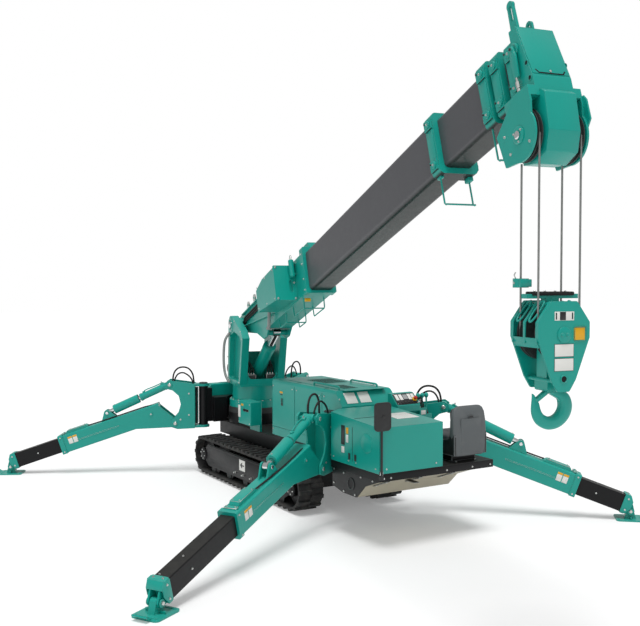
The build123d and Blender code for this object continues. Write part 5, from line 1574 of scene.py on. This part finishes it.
@dataclass
class ColumnDress:
    """Bolts, swivel gear, hoses and conduits of the slewing column and the winch."""

    def build(self) -> None:
        """Builds the column's trim."""
        made = Maker(ZINC)
        for sign in (1, -1):
            out = BOOM_LEFT * sign
            for size, spots in (
                (11, ((-235, 1200), (270, 1200), (-236, 1500))),
                (9, ((400, 1770), (335, 1860), (60, 1985))),
            ):
                made.bolts([COLUMN.at(r, z, sign * 300) for r, z in spots], out, size)
            self.shaft_end(made, sign)
        ring = points_round(COLUMN.at(0, 962), COLUMN.along, COLUMN.side, 318, full_turn(18))
        made.use(ZINC).bolts(ring, UP, 11)
        # swivel joint, pipes and valves between the posts
        made.use(CAST_IRON)
        swivel = ((52, 0), (52, 70), (44, 74), (44, 150), (30, 156), (30, 190))
        made.turned(COLUMN.at(95, 1040.5), UP, swivel, 30)
        made.box(COLUMN, (235, 1255, 130), (60, 90, 120), 5)
        made.box(COLUMN, (235, 1255, -130), (60, 90, 120), 5)
        made.use(ZINC)
        for l in (-165, -130, -95, 95, 130, 165):
            made.turned(COLUMN.at(235, 1300, l), UP, ((10, -1), (10, 12), (7, 14), (7, 26)), 6)
        made.piece("column_trim", "upper")
        for number, l in enumerate((-165, -130, -95, 95, 130, 165)):
            sign = 1 if l > 0 else -1
            hose(
                f"column_hose_{number + 1}",
                "upper",
                COLUMN.route(
                    (235, 1322, l), (236, 1380, l),
                    (180, 1460 + 8 * number, sign * (150 + 4 * number)),
                    (20, 1440, sign * 178), (-120, 1380, sign * 182),
                    (-238, 1300 + 12 * number, sign * 180),
                ),
                10,
            )
        for number, offset in enumerate((0, 24)):
            hose(
                f"conduit_{number + 1}",
                "upper",
                COLUMN.route(
                    (-150 + offset, 1820, 306), (-190 + offset, 1780, 330),
                    (-262 + offset, 1700, 346), (-288 + offset, 1540, 350),
                    (-280 + offset, 1380, 350), (-240 + offset, 1240, 340),
                    (-150 + offset, 1172, 318),
                ),
                16 - 4 * number,
                GREY_CONDUIT,
            )
        self.build_winch()

    def shaft_end(self, made: Maker, sign: int) -> None:
        """Adds the boom shaft's cap and keeper on one side.

        Args:
            made: The piece that it goes into.
            sign: 1 on the boom's left, -1 on its right.
        """
        out, centre = BOOM_LEFT * sign, COLUMN.at(*BOOM_PIN, sign * 300)
        made.use(TEAL_ENAMEL)
        made.turned(centre, out, ((104, -1), (104, 4), (96, 7), (58, 7)), 40, False)
        made.use(CHROME).turned(centre, out, ((45, 10), (45, 18), (40, 21), (10, 22)), 32)
        made.use(ZINC)
        spots = points_round(centre + out * 6, COLUMN.along, UP, 78, (0.4, 1.9, 3.5, 5.0))
        made.bolts(spots, out, 9)

    def build_winch(self) -> None:
        """Adds the rope's wraps to the drum and the motor's case beside it."""
        rope = Maker(WIRE_ROPE)
        for number in range(18):
            centre = COLUMN.at(*WINCH_PIN, -122 + number * 14.2)
            turns = [k * math.pi / 4 for k in range(9)]
            profile = [(91 + 7 * math.cos(a), 7 * math.sin(a)) for a in turns]
            rope.turned(centre, BOOM_LEFT, profile, 36, False)
        rope.piece("winch_rope", "winch_drum", Slot.ROPE)
        case = Maker(CAST_IRON)
        for sign, reach in ((1, 84), (-1, 60)):
            out = BOOM_LEFT * sign
            centre = COLUMN.at(*WINCH_PIN, sign * 175)
            profile = ((80, 0), (80, 16), (66, 24), (66, reach - 12), (56, reach), (20, reach + 2))
            case.use(CAST_IRON).turned(centre, out, profile, 32)
            case.use(ZINC)
            angles = (0.6, 1.9, 3.2, 4.4, 5.7)
            case.bolts(points_round(centre + out * 15, COLUMN.along, UP, 72, angles), out, 8)
        case.piece("winch_motor", "upper", Slot.IRON)


@dataclass
class BoomFootDress:
    """What the photograph shows on the foot box: bolts, tube, sheaves and guards."""

    plate_s: float = 2156

    def build(self) -> None:
        """Builds the foot's trim."""
        made = Maker(ZINC)
        for t, l in ((50, 170), (50, 375), (-310, 170), (-310, 375), (-130, 170)):
            made.turned(BOOM.at(self.plate_s, t, l), BOOM.along, ((13, -1), (13, 4), (9, 10), (4, 11)), 18)
        for s, t in ((1500, 20), (1800, 40), (2080, 40), (1500, -230), (1800, -262), (2080, -290)):
            made.bolt(BOOM.at(s, t, 388), BOOM_LEFT, 9)
        # upright gas tube with its ring, beside the front plate
        made.use(TEAL_ENAMEL)
        made.turned(BOOM.at(2200, -80, 200), BOOM.up, ((27, 0), (30, 4), (30, 190), (24, 198), (10, 200)), 28)
        made.box(BOOM, (2180, -40, 175), (46, 16, 46), 3)
        made.box(BOOM, (2180, 80, 175), (46, 16, 46), 3)
        turns = [k * math.pi / 8 for k in range(17)]
        loop = points_round(BOOM.at(2200, 146, 200), BOOM.up * -1, BOOM.along, 26, turns)
        made.use(ZINC).rod(loop, 4, 8)
        # sheave-like discs of the cable reel above the channel
        for s, t, radius in ((1480, 130, 62), (700, 150, 48), (430, 140, 44)):
            made.use(ZINC)
            centre = BOOM.at(s, t, 168)
            groove = ((radius, -7), (radius, -4), (radius - 8, 0), (radius, 4), (radius, 7))
            made.turned(centre, BOOM_LEFT, groove, 36)
            made.use(TEAL_ENAMEL).turned(centre, BOOM_LEFT, ((14, -10), (14, 10), (8, 13)), 18)
            stand = ((s - 16, t - 70), (s + 16, t - 70), (s + 12, t + 8), (s - 12, t + 8))
            made.slab(BOOM, stand, 150, 158, 2)
        made.use(RED_PLASTIC).box(BOOM, (1080, 14, 158.6), (60, 60, 1.6), 0.4)
        made.use(YELLOW_FILM).box(BOOM, (1020, 14, 158.6), (50, 60, 1.6), 0.4)
        made.use(WHITE_FILM).box(BOOM, (1180, 20, 158.6), (110, 50, 1.6), 0.4)
        made.use(TEAL_ENAMEL).box(BOOM, (2255, 180, 0), (130, 8, 170), 2)
        made.use(ZINC)
        made.bolts([BOOM.at(s, 184, l) for s in (2215, 2295) for l in (60, -60)], BOOM.up, 9)
        # bolts of the front frame
        for sign in (1, -1):
            made.bolts([BOOM.at(2455, t, sign * 172) for t in (90, -20, -190, -310)], BOOM_LEFT * sign, 11)
            spots = ((180, 60), (520, 60), (1180, -60), (1330, -60))
            made.bolts([BOOM.at(s, t, sign * 152) for s, t in spots], BOOM_LEFT * sign, 9)
        made.piece("boom_foot_trim", "boom")
        guards = Maker(TEAL_ENAMEL)
        self.guard(guards, 2250, 1900, 110)
        self.guard(guards, 1650, 1400, 100)
        guards.use(YELLOW_PLASTIC)
        guards.turned(BOOM.at(2380, -400, 96), BOOM_LEFT, ((20, 0), (20, 60), (14, 64)), 20)
        guards.use(TEAL_ENAMEL)
        guards.rod([BOOM.at(2380, -345, 176), BOOM.at(2380, -400, 176), BOOM.at(2380, -400, 90)], 8, 10)
        guards.piece("boom_foot_guards", "boom")
        for number, t in enumerate((30, 0, -30)):
            hose(
                f"boom_hose_{number + 1}",
                "boom",
                BOOM.route(
                    (1430, t - 60, 170), (1200, t, 172), (800, t, 172), (400, t, 172),
                    (200, t, 172), (140, t - 60, 166),
                ),
                11,
            )
        hose(
            "boom_conduit",
            "boom",
            BOOM.route(
                (1460, -60, 210), (1400, -80, 214), (1330, -190, 208), (1240, -330, 196),
                (1130, -380, 176), (1060, -345, 160),
            ),
            20,
            GREY_CONDUIT,
        )

    def guard(self, made: Maker, front: float, rear: float, deep: float) -> None:
        """Adds one wire guard below the boom.

        Args:
            made: The piece that it goes into.
            front: Where it leaves the boom in front.
            rear: Where it comes back.
            deep: How far it hangs.
        """
        bottom = -340.0
        for l in (118.0, -118.0):
            path = ((front, bottom), (front - 8, bottom - deep + 14), (front - 22, bottom - deep))
            path += ((rear + 22, bottom - deep), (rear + 8, bottom - deep + 14), (rear, bottom))
            made.rod([BOOM.at(s, t, l) for s, t in path], 7, 8)
        made.rod([BOOM.at(front - 22, bottom - deep, l) for l in (118.0, -118.0)], 7, 8)


# radius and height of the round screw that sets a wear pad
PAD_SCREW = ((30, -1), (30, 8), (26, 12), (8, 12))


@dataclass
class SectionDress:
    """Bolts, pads and guards on the collars of the boom's sections."""

    collars: tuple[tuple[str, str, float, float, float, float], ...] = (
        ("boom_1", "boom", 5400, 5520, 268, 443),
        ("boom_2", "section_2", 6180, 6298, 240, 415),
        ("boom_3", "section_3", 6330, 6440, 212, 387),
        ("boom_4", "section_4", 6500, 6615, 184, 359),
    )

    def build(self) -> None:
        """Builds every collar's trim."""
        for name, body, start, end, width, height in self.collars:
            made = Maker(TEAL_ENAMEL)
            middle = (start + end) / 2
            for sign in (1, -1):
                out = BOOM_LEFT * sign
                face = sign * (width / 2 + 49)
                for t in (TUBE_MIDDLE + height / 2 - 50, TUBE_MIDDLE - height / 2 + 50):
                    made.use(TEAL_ENAMEL).turned(BOOM.at(middle + 12, t, face), out, PAD_SCREW, 28)
                    made.use(ZINC).bolt(BOOM.at(middle + 12, t, face + sign * 11), out, 9)
                    made.use(CAST_IRON).bolt(BOOM.at(middle - 38, t + 24, face), out, 8)
                made.use(TEAL_ENAMEL)
                size = (end - start - 30, height - 190, 6)
                made.box(BOOM, (middle, TUBE_MIDDLE, sign * (width / 2 + 37)), size, 2)
            top = TUBE_MIDDLE + height / 2 + 35
            made.use(ZINC)
            made.bolts([BOOM.at(middle, top, l) for l in (-width / 3, 0, width / 3)], BOOM.up, 9)
            made.use(TEAL_ENAMEL)
            made.box(BOOM, (middle, top + 4, 0), (end - start - 40, 10, width * 0.45), 2)
            made.piece(f"collar_trim_{name}", body)
        self.build_guard()

    def build_guard(self) -> None:
        """Adds the rope guards below the collars of the first and second section."""
        for name, body, front, bottom, deep, half in (
            ("collar_guard_1", "boom", 5500, -363, 235, 125),
            ("collar_guard_2", "section_2", 6270, -349, 250, 120),
            ("collar_guard_3", "section_3", 6420, -335, 220, 105),
        ):
            made = Maker(TEAL_ENAMEL)
            for l in (half, -half):
                path = ((front - 60, bottom), (front - 60, bottom - deep + 18), (front - 42, bottom - deep))
                made.rod([BOOM.at(s, t, l) for s, t in (*path, (front - 30, bottom - deep))], 7, 8)
            made.rod([BOOM.at(front - 32, bottom - deep, l) for l in (half + 4, -half - 4)], 7, 8)
            if body == "boom":
                made.box(BOOM, (front - 60, bottom - 6, half), (60, 20, 30), 3)
                made.box(BOOM, (front - 60, bottom - 12, -half), (70, 40, 40), 4)
            made.piece(name, body)


@dataclass
class HeadDress:
    """Cover seams, holes, bolts, anchor block and sheave trim of the boom head."""

    def build(self) -> None:
        """Builds the head's trim."""
        made = Maker(TEAL_ENAMEL)
        front_low, front_top = BOOM.at(6780, -260), BOOM.at(6700, 150)
        up = (front_top - front_low).normalized()
        out = BOOM_LEFT.cross(up)
        if out.dot(BOOM.along) < 0:
            out = -out
        cover = Place((front_low + front_top) / 2, BOOM_LEFT * -1, up, out)
        made.box(cover, (0, 4, 2), (284, 388, 5), 2)
        fold = [(-120, -160), (-96, -190), (96, -190), (120, -160), (112, -156)]
        fold += [(92, -180), (-92, -180), (-112, -156)]
        made.use(BLACK_ENAMEL).slab(cover, fold, 4.4, 5.4, 0)
        made.use(ZINC).turned(cover.at(0, -166, 4), out, ((9, 0), (9, 4), (5, 8)), 16)
        for sign in (1, -1):
            side = BOOM_LEFT * sign
            # black discs for the plate's holes: painted shade inside them
            made.use(BLACK_ENAMEL)
            for s, t in ((6745, -150), (6752, -262)):
                made.turned(BOOM.at(s, t, sign * 150), side, ((15, -1), (15, 1)), 24)
            made.use(TEAL_ENAMEL)
            for s, t in ((6745, -150), (6752, -262)):
                made.turned(BOOM.at(s, t, sign * 150), side, ((22, -1), (22, 3), (15, 4), (15, 0)), 24, False)
            # ear plate with two holes and the outer side's bolts
            ear = ((6640, -420), (6790, -380), (6812, -420), (6812, -560), (6770, -600), (6650, -600))
            if sign < 0:
                made.slab(BOOM, ear, -208, -220, 2)
                made.use(WHITE_FILM)
                for t in (-430, -545):
                    made.turned(BOOM.at(6785, t, -220), side, ((13, -1), (13, 1.5)), 20)
            made.use(TEAL_ENAMEL)
            collar = ((60, -1), (60, 6), (50, 10), (30, 10))
            made.turned(BOOM.at(*HEAD_PIN, sign * 208), side, collar, 36, False)
            made.use(CHROME)
            made.turned(BOOM.at(*HEAD_PIN, sign * 222), side, ((28, -2), (28, 3), (22, 6), (8, 6)), 28)
            made.use(ZINC)
            pin = BOOM.at(*HEAD_PIN, sign * 217)
            made.bolts(points_round(pin, BOOM.along, BOOM.up, 45, (0.5, 2.6, 4.7)), side, 8)
            spots = ((6480, -680), (6700, -690), (6450, -540))
            made.bolts([BOOM.at(s, t, sign * 208) for s, t in spots], side, 10)
        # middle housing's lid
        made.use(TEAL_ENAMEL)
        lid = [(6640, -366), (6800, -366), (6830, -400), (6800, -650), (6735, -768)]
        lid += [(6600, -796), (6470, -752)]
        made.slab(BOOM, lid, -HOUSING_HALF, HOUSING_HALF, 4)
        made.use(ZINC).bolts([BOOM.at(6700, -345, l) for l in (185, -185)], BOOM.up, 9)
        # rope anchor on the left with its wedge, eye and turnbuckle
        made.use(TEAL_ENAMEL)
        anchor = ((6500, -330), (6640, -330), (6640, -400), (6560, -420), (6500, -400))
        made.slab(BOOM, anchor, 152, 206, 5)
        made.use(ZINC).rod([BOOM.at(6650, t, 176) for t in (-330, -290, -250, -210)], 9, 10)
        made.turned(BOOM.at(6650, -262, 176), BOOM.up, ((15, -22), (15, 22)), 6)
        made.turned(BOOM.at(6650, -300, 176), BOOM.up, ((14, -8), (14, 8)), 6)
        made.use(TEAL_ENAMEL)
        plate = ((6626, -210), (6674, -210), (6684, -60), (6664, 20), (6636, 20), (6616, -60))
        made.slab(BOOM, plate, 164, 180, 3)
        boss = ((46, 0), (46, 10), (40, 14), (34, 10), (16, 10), (14, 36))
        made.turned(BOOM.at(6650, 0, 151), BOOM_LEFT, boss, 32)
        made.use(CAST_IRON).bolt(BOOM.at(6650, 0, 186), BOOM_LEFT, 10)
        made.piece("boom_head_trim", "section_5")
        wheels = Maker(CAST_IRON)
        for sign in (1, -1):
            centre = BOOM.at(*HEAD_PIN, sign * SHEAVE_SIDE)
            for face in (1, -1):
                side = BOOM_LEFT * face
                wheels.turned(centre + side * 17, side, SHEAVE_RIM, 48, False)
        wheels.piece("head_sheave_rims", "head_wheels", Slot.IRON)


@dataclass
class BlockDress:
    """Guides, plates, bolts and the rubber top bar of the hook block."""

    half: float = 154

    def build(self) -> None:
        """Builds the block's trim."""
        made = Maker(TEAL_ENAMEL)
        for sign in (1, -1):
            out, face = HEADING * sign, sign * self.half
            made.use(TEAL_ENAMEL)
            made.turned(BLOCK.at(0, 0, face), out, ((52, -1), (52, 6), (46, 9), (10, 9)), 36)
            made.use(TEAL_ENAMEL).bolts([BLOCK.at(a, 0, face + sign * 9) for a in (-20, 20)], out, 12)
            made.use(WHITE_FILM).box(BLOCK, (0, 120, face + sign * 0.8), (150, 58, 2), 0.5)
            made.use(BLACK_FILM).box(BLOCK, (-12, 120, face + sign * 1.8), (46, 54, 2), 0.5)
            for a in (62, -62):
                made.box(BLOCK, (a, 120, face + sign * 1.8), (10, 44, 2), 0.5)
            made.use(YELLOW_FILM).box(BLOCK, (sign * 122, 4, face + sign * 0.8), (92, 96, 2), 8)
            for u in (-100, -192):
                made.use(BLACK_FILM).box(BLOCK, (0, u, face + sign * 0.8), (150, 84, 2), 0.5)
                made.use(WHITE_FILM).box(BLOCK, (0, u, face + sign * 1.6), (144, 78, 2), 0.5)
            made.use(TEAL_ENAMEL)
            eyelet = ((28, -1), (28, 5), (22, 7), (20, 5), (20, -1))
            made.turned(BLOCK.at(0, -285, face), out, eyelet, 30, False)
            # black disc in the eyelet: painted shade of its hole
            made.use(BLACK_ENAMEL).turned(BLOCK.at(0, -285, face), out, ((20, -1), (20, 1)), 30)
        # curved shells that close the block's narrow sides over the sheaves
        made.use(TEAL_ENAMEL)
        for sign in (1, -1):
            shell = ((100, 215), (200, 80), (200, -60), (192, -60), (192, 76), (94, 208))
            made.slab(BLOCK, [(sign * a, u) for a, u in shell], -140, -124, 3)
            made.slab(BLOCK, [(sign * a, u) for a, u in shell], 124, 140, 3)
            made.slab(BLOCK, [(sign * a, u) for a, u in shell], -12, 12, 3)
            low = ((200, -20), (192, -20), (176, -84), (184, -84))
            made.slab(BLOCK, [(sign * a, u) for a, u in low], -140, 140, 3)
            for row in (-68, 68):
                loop = []
                for k in range(25):
                    angle = 2 * math.pi * k / 24
                    a = 150 + 54 * math.copysign(abs(math.cos(angle)) ** 0.7, math.cos(angle)) * 0.95
                    u = 148 - 1.28 * (a - 150)
                    loop.append(BLOCK.at(sign * a, u, row + 28 * math.sin(angle)))
                made.rod(loop, 7, 8)
        made.piece("block_trim", "block")
        top = Maker(HOSE_RUBBER)
        top.box(BLOCK, (0, 262, 0), (320, 26, 96), 8)
        top.use(ZINC).bolts([BLOCK.at(a, 275, 0) for a in (-120, -40, 40, 120)], UP, 8)
        top.piece("block_top_pad", "block", Slot.PLASTIC)
        wheels = Maker(CAST_IRON)
        for row in (-ROPE_ROW, ROPE_ROW):
            for face in (1, -1):
                side = HEADING * face
                wheels.turned(BLOCK.at(0, 0, row) + side * 17, side, SHEAVE_RIM, 48, False)
        wheels.piece("block_sheave_rims", "block_wheels", Slot.IRON)
        weight = Maker(TEAL_ENAMEL)
        fall = COLUMN.at(BLOCK_R - ROPE_ROW, 2500, SHEAVE_SIDE)
        weight.box(Place(fall, BOOM_LEFT * -1, UP, HEADING), (0, 0, 54), (90, 50, 16), 4)
        weight.use(ZINC)
        bail = ((40, 30), (52, 52), (40, 70))
        weight.rod([fall + BOOM_LEFT * l + UP * z for l, z in bail], 4, 8)
        weight.bolt(fall + BOOM_LEFT * 52, BOOM_LEFT, 8)
        weight.piece("weight_trim", "hang")


@dataclass
class ForgedHook:
    """The hook as a forging: its section swells round the bowl and ends in a tip."""

    bowl_z: float = 1700
    # centre, direction across the bar in the hook's plane, half width, half thickness
    neck: tuple[tuple[float, float, float, float, float, float], ...] = (
        (0, 172, 1, 0, 29, 29),
        (0, 124, 1, 0, 30, 29),
        (8, 100, 0.96, 0.28, 32, 30),
        (32, 88, 0.85, 0.52, 34, 31),
        (66, 74, 0.80, 0.60, 37, 32),
    )
    # angle in the hook's plane, inner and outer radius, half thickness
    bowl: tuple[tuple[float, float, float, float], ...] = (
        (24, 76, 162, 33),
        (0, 76, 178, 33),
        (-20, 76, 180, 33),
        (-40, 76, 176, 33),
        (-60, 76, 171, 32),
        (-80, 76, 166, 31),
        (-100, 76, 162, 30),
        (-126, 76, 156, 28),
        (-146, 76, 149, 26),
        (-164, 76, 142, 23),
        (-180, 78, 137, 20),
        (-192, 86, 138, 17),
        (-203, 108, 145, 13),
        (-211, 136, 157, 7),
    )

    def build(self) -> None:
        """Builds the hook, its collar and its latch."""
        place = Place(COLUMN.at(BLOCK_R, self.bowl_z), BOOM_LEFT * -1, UP, HEADING)
        stations = [tuple(map(float, s)) for s in self.neck]
        for degrees, inner, outer, thick in self.bowl:
            a = math.radians(degrees)
            middle = (inner + outer) / 2
            stations.append(
                (
                    middle * math.cos(a),
                    middle * math.sin(a),
                    math.cos(a),
                    math.sin(a),
                    (outer - inner) / 2,
                    float(thick),
                )
            )
        rings = []
        for i in range(len(stations) - 1):
            before, start = stations[max(i - 1, 0)], stations[i]
            stop, after = stations[i + 1], stations[min(i + 2, len(stations) - 1)]
            for step in range(5):
                t = step / 5
                values = [
                    0.5
                    * (
                        2 * b
                        + (c - a) * t
                        + (2 * a - 5 * b + 4 * c - d) * t * t
                        + (3 * b - a - 3 * c + d) * t**3
                    )
                    for a, b, c, d in zip(before, start, stop, after)
                ]
                rings.append(self.section(place, values))
        rings.append(self.section(place, stations[-1]))
        made = Maker(TEAL_ENAMEL).skin(rings)
        made.turned(place.at(0, 92), UP, ((40, -12), (43, -8), (43, -2), (40, 2), (30, 3)), 32, False)
        made.use(ZINC).turned(place.at(-20, 84, -26), HEADING, ((9, 0), (9, 52)), 16)
        made.use(TEAL_ENAMEL)
        latch = ((-38, 94), (-16, 94), (-14, 78), (-96, 24), (-112, 34), (-106, 46))
        for l in (-17, 12):
            made.slab(place, latch, l, l + 5, 1)
        made.slab(place, ((-34, 92), (-30, 84), (-104, 30), (-110, 40)), -13, 13, 1)
        hook = made.piece("forged_hook", "hook")
        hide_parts("hook")

    def section(self, place: Place, values: Sequence[float]) -> list[Vector]:
        """Gives the ring of points of one section.

        Args:
            place: The hook's frame.
            values: Centre, direction across, half width and half thickness.

        Returns:
            The ring's points.
        """
        x, z, dx, dz, half_w, half_t = values
        long = math.hypot(dx, dz)
        dx, dz = dx / long, dz / long
        ring = []
        for k in range(28):
            angle = 2 * math.pi * k / 28
            u = math.copysign(abs(math.cos(angle)) ** 0.8, math.cos(angle)) * half_w
            v = math.copysign(abs(math.sin(angle)) ** 0.8, math.sin(angle)) * half_t
            v *= 1 - 0.18 * (u / half_w)
            ring.append(place.at(x + dx * u, z + dz * u, v))
        return ring


@dataclass
class Studio:
    """Pale floor, soft lamps and the camera at the photograph's angle."""

    camera_at: tuple[float, float, float] = (-10.58, 5.40, 2.52)
    look: tuple[float, float] = (0.8555, -0.5177)
    pitch: float = 2.1
    lens: float = 50.6
    floor_size: float = 120.0
    floor_lift: float = 0.22
    world_light: float = 0.45

    def build_floor(self) -> None:
        """Builds the floor, which the camera and mirrors see as white."""
        made, tree = fresh_tree("studio_floor")
        path = add(tree, "LightPath")
        seen = add(
            tree,
            "Math",
            {"operation": "MAXIMUM"},
            {0: path.outputs["Is Camera Ray"], 1: path.outputs["Is Glossy Ray"]},
        )
        lift = add(tree, "Math", {"operation": "MULTIPLY", 1: self.floor_lift}, {0: seen.outputs[0]})
        glow = add(tree, "Emission", {"Color": (1, 1, 1, 1)}, {"Strength": lift.outputs[0]})
        matt = add(tree, "BsdfDiffuse", {"Color": (0.8, 0.8, 0.8, 1)})
        shader = add(tree, "AddShader", links={0: matt.outputs[0], 1: glow.outputs[0]})
        close_tree(tree, shader)
        data = bpy.data.meshes.new("studio_floor")
        half = self.floor_size / 2
        corners = [(-half, -half, 0), (half, -half, 0), (half, half, 0), (-half, half, 0)]
        data.from_pydata(corners, [], [(0, 1, 2, 3)])
        data.materials.append(made)
        floor = bpy.data.objects.new("studio_floor", data)
        bpy.context.scene.collection.objects.link(floor)

    def build_world(self) -> None:
        """Builds the surroundings: white where seen, dimmer as light."""
        world = bpy.data.worlds.new("studio")
        bpy.context.scene.world = world
        world.use_nodes = True
        tree = world.node_tree
        tree.nodes.clear()
        path = add(tree, "LightPath")
        seen = ramp(tree, path.outputs["Is Camera Ray"], low=self.world_light)
        back = add(tree, "Background", {"Color": (1, 1, 1, 1)}, {"Strength": seen})
        add(tree, "OutputWorld", links={"Surface": back.outputs[0]})

    def build_lamps(self) -> None:
        """Builds a soft key lamp from above and a weak fill from the left."""
        for name, strength, spread, towards in (
            ("key_lamp", 1.95, 26.0, (0.16, -0.12, -1.0)),
            ("fill_lamp", 0.3, 60.0, (0.8, -0.8, -0.3)),
        ):
            data = bpy.data.lights.new(name, "SUN")
            data.energy = strength
            data.angle = math.radians(spread)
            lamp = bpy.data.objects.new(name, data)
            lamp.rotation_euler = Vector(towards).to_track_quat("-Z", "Y").to_euler()
            bpy.context.scene.collection.objects.link(lamp)

    def build_camera(self) -> None:
        """Builds the camera."""
        data = bpy.data.cameras.new("camera")
        data.lens = self.lens
        data.sensor_width = 36.0
        data.clip_end = 300.0
        camera = bpy.data.objects.new("camera", data)
        pitch = math.radians(self.pitch)
        look = Vector((*[c * math.cos(pitch) for c in self.look], -math.sin(pitch)))
        camera.location = self.camera_at
        camera.rotation_euler = look.to_track_quat("-Z", "Y").to_euler()
        bpy.context.scene.collection.objects.link(camera)
        bpy.context.scene.camera = camera

    def build(self) -> None:
        """Builds the studio."""
        self.build_floor()
        self.build_world()
        self.build_lamps()
        self.build_camera()
        bpy.context.scene.view_settings.view_transform = "Standard"


def main() -> None:
    """Builds the studio and dresses every sub-assembly in order."""
    logging.basicConfig(level=logging.INFO, format="%(name)s: %(message)s")
    Studio().build()
    Painting().build()
    Tracks().build()
    Covers().build()
    Console().build()
    Seat().build()
    Mirror().build()
    ColumnDress().build()
    BoomFootDress().build()
    SectionDress().build()
    HeadDress().build()
    BlockDress().build()
    ForgedHook().build()
    for leg in LEGS:
        leg.build()


if __name__ == "__main__":
    main()
